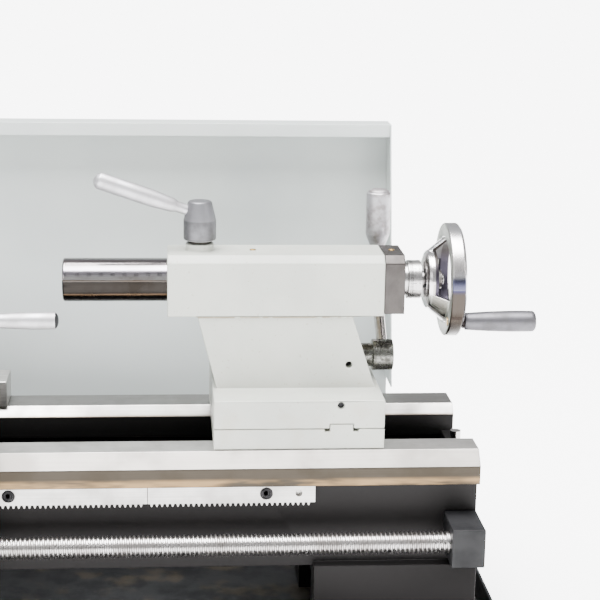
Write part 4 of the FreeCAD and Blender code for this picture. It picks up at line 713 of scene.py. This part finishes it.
# the grip swells from its neck: radius = most * (thin + swell * sin(turn t) ^ power)
def makeCrankHandle():
    grip = {"bore": 0.0041, "neck": 0.0070, "past": 0.0006, "inset": 0.0002, "thin": 0.80,
            "swell": 0.20, "turn": 2.05, "power": 0.9}
    (x, y, z), low, high = middleOf("crank_handle")
    start, end = low[0], high[0]
    most = (high[2] - low[2]) / 2 - grip["inset"]
    t = np.linspace(0, 1, 26)
    radius = most * (grip["thin"] + grip["swell"] * np.sin(grip["turn"] * t) ** grip["power"])
    body = np.stack([start + grip["past"] + t * (end - start - 0.0030), radius], axis=-1)
    tip = [(end - 0.0010, radius[-1] - 0.0012), (end - 0.0004, radius[-1] - 0.0022),
           (end - 0.0003, 0.0)]
    profile = np.vstack([[(start, grip["bore"]), (start, grip["neck"])], body, tip])
    makePiece("crank_grip", [turned(profile, (0, y, z), steps=80)], finish("crankGrey"),
              "crank_handle", smooth=50, standsFor=["crank_handle"])


# a cone from its foot to a straight side, under a dome: height sin t, radius cos t
def makeCamKnob():
    knob = {"low": 0.018, "high": 0.0757, "radius": 0.0117, "foot": 0.0068, "bore": 0.0053,
            "cone": 0.013, "dome": 0.0035, "shoulder": 0.0016, "soft": 0.0008}
    (x, y, z), low, high = middleOf("cam_lever_knob")
    neck, domeFoot = knob["radius"] - knob["shoulder"], knob["high"] - knob["dome"]
    t = np.linspace(0, math.pi / 2, 9)
    dome = np.stack([domeFoot + knob["dome"] * np.sin(t), neck * np.cos(t)], axis=-1)
    lower = rounded([(knob["low"], knob["bore"]), (knob["low"], knob["foot"]),
                     (knob["low"] + knob["cone"], knob["radius"]),
                     (domeFoot - 0.0012, knob["radius"]), (domeFoot, neck)], knob["soft"], 4)
    profile = np.vstack([lower, dome[1:]])
    makePiece("cam_knob", [turned(profile, (x, y, axisZ), "z", 72)], finish("knobGrey"),
              "cam_lever_knob", standsFor=["cam_lever_knob"])


# the grip widens along a slow cosine, radius * (waist + rise * (1 - cos(pi * reach t)) / 2),
# and a separate black cap closes it: height sin t, radius cos t
def makeCompoundGrip():
    grip = {"waist": 0.78, "rise": 0.22, "reach": 1.25, "cap": 0.0030, "mouth": 0.94,
            "foot": 0.5, "capSink": 0.0004, "capRise": 0.0034, "capShare": 0.93}
    (x, y, z), low, high = middleOf("compound_handle")
    start, radius = low[0], (high[2] - low[2]) / 2
    tip = high[0] - grip["cap"]
    t = np.linspace(0, 1, 22)
    opened = 0.5 - 0.5 * np.cos(math.pi * np.clip(t * grip["reach"], 0, 1))
    body = np.stack([start + t * (tip - start),
                     radius * (grip["waist"] + grip["rise"] * opened)], axis=-1)
    profile = np.vstack([[(start, 0.0), (start, radius * grip["foot"])], body,
                         [(tip, radius * grip["mouth"]), (tip, 0.0)]])
    makePiece("compound_grip", [turned(profile, (0, y, z), steps=80)], finish("blasted"),
              "compound_handle", smooth=45, standsFor=["compound_handle"])
    t = np.linspace(0, math.pi / 2, 8)
    foot = tip - grip["capSink"]
    dome = np.stack([foot + grip["capRise"] * np.sin(t),
                     radius * grip["capShare"] * np.cos(t)], axis=-1)
    cap = turned(np.vstack([[(foot, 0.0)], dome]), (0, y, z), steps=64)
    makePiece("compound_grip_cap", [cap], finish("blackPlastic"), "compound_handle")


# flat figures as points and faces, cut across every 0.4 mm so that they can bend
def figures(text, height, step=0.0004):
    curve = bpy.data.curves.new("figures", "FONT")
    curve.body, curve.size, curve.align_x = text, height, "CENTER"
    holder = bpy.data.objects.new("figures", curve)
    flat = bpy.data.meshes.new_from_object(holder)
    bpy.data.objects.remove(holder)
    work = bmesh.new()
    work.from_mesh(flat)
    bmesh.ops.triangulate(work, faces=work.faces)
    for level in np.arange(step, height, step):
        bmesh.ops.bisect_plane(work, geom=work.verts[:] + work.edges[:] + work.faces[:],
                               plane_co=(0, level, 0), plane_no=(0, 1, 0))
    bmesh.ops.triangulate(work, faces=work.faces)
    work.verts.index_update()
    points = np.array([v.co for v in work.verts])
    faces = np.array([[v.index for v in f.verts] for f in work.faces])
    work.free()
    return points, faces


# figures laid round a bar at a place along it and an angle; they read along the bar or,
# with across, round it
def figuresOn(text, height, radius, along, angle, centre, across=False):
    inkDepth = 0.000015
    points, faces = figures(text, height)
    if across:
        points = np.stack([-points[:, 1], points[:, 0], points[:, 2]], axis=-1)
    points = points + np.array([along, 0.0, inkDepth])
    return wrapRound(points, radius, angle, centre), faces


# lengths of count scale lines: every tenth is long, every fifth middling, the others short
def lineLengths(count, long, middling, short):
    k = np.arange(count)
    return np.where(k % 10 == 0, long, np.where(k % 5 == 0, middling, short))


# lines stand one pitch apart along the bar, and each is four boxes end to end so that it
# bends round it; every tenth has its number
def makeQuillScale():
    scale = {"radius": 0.0200, "first": -0.0925, "pitch": 0.00107, "lines": 85, "angle": 50,
             "lengths": (0.0052, 0.0038, 0.0026), "figureAngle": 21, "figure": 0.0042,
             "line": 0.00036, "depth": 0.000015, "sink": 0.0002, "parts": 4}
    length = lineLengths(scale["lines"], *scale["lengths"])
    along = scale["first"] + np.arange(scale["lines"]) * scale["pitch"]
    half, level = scale["line"] / 2, np.ones(scale["lines"])
    centre, shapes = (tailX, 0.0, axisZ), []
    for part in range(scale["parts"]):
        lows = np.stack([along - half, length * part / scale["parts"],
                         -scale["sink"] * level], axis=-1)
        highs = np.stack([along + half, length * (part + 1) / scale["parts"],
                          scale["depth"] * level], axis=-1)
        points, faces = boxes(lows, highs)
        angle = math.radians(scale["angle"])
        shapes.append((wrapRound(points, scale["radius"], angle, centre), faces))
    for number in range(0, scale["lines"] // 10 + 1):
        shapes.append(figuresOn(str(number * 10), scale["figure"], scale["radius"],
                                scale["first"] + number * 10 * scale["pitch"],
                                math.radians(scale["figureAngle"]), centre))
    makePiece("quill_scale", shapes, finish("ink"), "quill", smooth=10)


# lines run along the dial, evenly round it: line k at k / lines of a turn
def makeDialScale():
    dial = {"radius": 0.0180, "start": 0.2246, "lines": 80, "lengths": (0.0060, 0.0046, 0.0032),
            "figure": 0.0026, "figureAt": 0.0100, "line": 0.00040, "depth": 0.00004,
            "sink": 0.0002}
    length = lineLengths(dial["lines"], *dial["lengths"])
    around = np.arange(dial["lines"]) * 2 * math.pi * dial["radius"] / dial["lines"]
    half, level = dial["line"] / 2, np.ones(dial["lines"])
    lows = np.stack([dial["start"] * level, around - half, -dial["sink"] * level], axis=-1)
    highs = np.stack([dial["start"] + length, around + half, dial["depth"] * level], axis=-1)
    points, faces = boxes(lows, highs)
    centre = (tailX, 0.0, axisZ)
    shapes = [(wrapRound(points, dial["radius"], 0.0, centre), faces)]
    for number in range(dial["lines"] // 10):
        angle = number * 20 * math.pi / dial["lines"]
        shapes.append(figuresOn(str(number * 10), dial["figure"], dial["radius"],
                                dial["start"] + dial["figureAt"], angle, centre, across=True))
    makePiece("dial_scale", shapes, finish("ink"), "tailstock_dial", smooth=10)


# a turned nut whose two outer rows are drawn in to six flats
def makeWheelNut():
    nut = {"start": 0.2492, "end": 0.2558, "radius": 0.0093, "bore": 0.0052,
           "faces": (0.0088, 0.0084), "chamfers": (0.0007, 0.0009)}
    start, end = nut["start"], nut["end"]
    profile = [(start, nut["bore"]), (start, nut["faces"][0]),
               (start + nut["chamfers"][0], nut["radius"]),
               (end - nut["chamfers"][1], nut["radius"]), (end, nut["faces"][1]),
               (end, nut["bore"]), (start, nut["bore"])]
    shape = turned(profile, (tailX, 0, axisZ), steps=72, hexes=[0, 0, 1, 1, 0, 0, 0])
    makePiece("wheel_nut", [shape], finish("gearSteel"), "handwheel_nut",
              standsFor=["handwheel_nut"])


# socket head screws lying along -y: rim, chamfer and a six-sided hole down to its floor.
# Their places come from the CAD heads: x rounded to a centimetre picks each head's points.
# Every head crosses a rounding line, so it is found and drawn twice, and all but one of the
# eight are smaller than the CAD head and up to 2 mm off its middle.
def makeRackScrews():
    screw = {"shank": 0.7, "rim": 0.0006, "edge": 0.0002, "socket": 0.0031, "lead": 0.0003,
             "deep": 0.0035, "near": 0.009, "skin": 0.0005, "fewest": 6}
    low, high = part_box("rack_screws")
    face, back, socket = low[1], high[1], screw["socket"]
    points = pointsOf("rack_screws")
    heads = points[points[:, 1] < face + screw["skin"]]
    shapes = []
    for column in np.unique(np.round(heads[:, 0], 2)):
        own = heads[np.abs(heads[:, 0] - column) < screw["near"]]
        if len(own) < screw["fewest"]:
            continue
        middle = (own.min(axis=0) + own.max(axis=0)) / 2
        radius = (own[:, 0].max() - own[:, 0].min()) / 2
        profile = [(back, 0.0), (back, radius * screw["shank"]), (face + screw["rim"], radius),
                   (face + screw["edge"], radius), (face, radius - screw["rim"]),
                   (face, socket + screw["lead"]), (face + screw["lead"], socket),
                   (face + screw["deep"], socket), (face + screw["deep"], 0.0)]
        shapes.append(turned(profile, (middle[0], 0, middle[2]), "y", 48,
                             [0, 0, 0, 0, 0, 1, 1, 1, 0]))
    makePiece("rack_screw_heads", shapes, finish("blackSteel"), "rack_screws",
              standsFor=["rack_screws"])


# a flanged cup, and in its mouth a ball: height sin t, radius cos t
def makeOilers():
    oiler = {"rim": 0.0030, "cup": 0.0019, "seat": 0.0016, "ball": 0.0013, "ballRise": 0.0011,
             "flange": 0.0006, "deep": 0.0055, "ballFoot": 0.0014}
    low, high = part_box("tailstock_oilers")
    top, rim, cup = high[2], oiler["rim"], oiler["cup"]
    t = np.linspace(0, math.pi / 2, 6)
    ball = np.stack([top - oiler["ballFoot"] + oiler["ballRise"] * np.sin(t),
                     oiler["ball"] * np.cos(t)], axis=-1)
    profile = np.vstack([[(top - oiler["deep"], 0.0), (top - oiler["deep"], cup),
                          (top - oiler["flange"], cup), (top - oiler["flange"], rim),
                          (top - 0.0002, rim), (top, rim - 0.0003), (top - 0.0001, cup),
                          (top - 0.0010, oiler["seat"])], ball])
    shapes = [turned(profile, (x, 0.0, 0.0), "z", 40) for x in (low[0] + rim, high[0] - rim)]
    makePiece("oiler_balls", shapes, finish("brass"), "tailstock_oilers",
              standsFor=["tailstock_oilers"])


# a thread: radius falls from crest to root by a trapezium of the place along the screw
# less the share of a turn, so that the crest climbs one pitch each turn
def makeLeadscrew():
    screw = {"pitch": 0.004, "depth": 0.0019, "perPitch": 8, "steps": 28, "steep": 4.4,
             "flat": 0.6, "chamfer": 0.0006, "near": 0.98, "past": 0.001}
    (x, y, z), low, high = middleOf("leadscrew")
    centre, steps = (0, y, z), screw["steps"]
    points = pointsOf("leadscrew")
    reach = np.hypot(points[:, 1] - y, points[:, 2] - z)
    crest = reach.max()
    threaded = points[reach > crest * screw["near"]]
    start, end = threaded[:, 0].min(), threaded[:, 0].max()
    journal = reach[points[:, 0] > end + screw["past"]].max()
    rows = int((end - start) / screw["pitch"] * screw["perPitch"])
    along = np.linspace(start, end, rows)[:, None]
    angle = (np.arange(steps) * 2 * math.pi / steps)[None, :]
    phase = np.mod((along - start) / screw["pitch"] - angle / (2 * math.pi), 1.0)
    shape = np.clip(screw["steep"] * np.abs(phase - 0.5) - screw["flat"], 0, 1)
    fade = np.clip(np.minimum(along - start, end - along) / screw["pitch"], 0, 1)
    radius = crest - screw["depth"] * (1 - shape) * fade
    thread = np.stack([np.repeat(along, steps, axis=1), y + radius * np.cos(angle),
                       z + radius * np.sin(angle)], axis=-1)
    left = [(low[0], 0.0), (low[0], journal), (start, journal), (start, crest)]
    right = [(end, crest), (end, journal), (high[0] - screw["chamfer"], journal),
             (high[0], journal - screw["chamfer"]), (high[0], 0.0)]
    shapes = [gridFaces(thread, wrap=True), turned(left, centre, steps=steps),
              turned(right, centre, steps=steps)]
    makePiece("leadscrew_thread", shapes, finish("turnedSteel"), "leadscrew",
              standsFor=["leadscrew"], smooth=30)


dressNodes()
makeCrankHandle()
makeCamKnob()
makeCompoundGrip()
makeQuillScale()
makeDialScale()
makeWheelNut()
makeRackScrews()
makeOilers()
makeLeadscrew()
print("new pieces made")
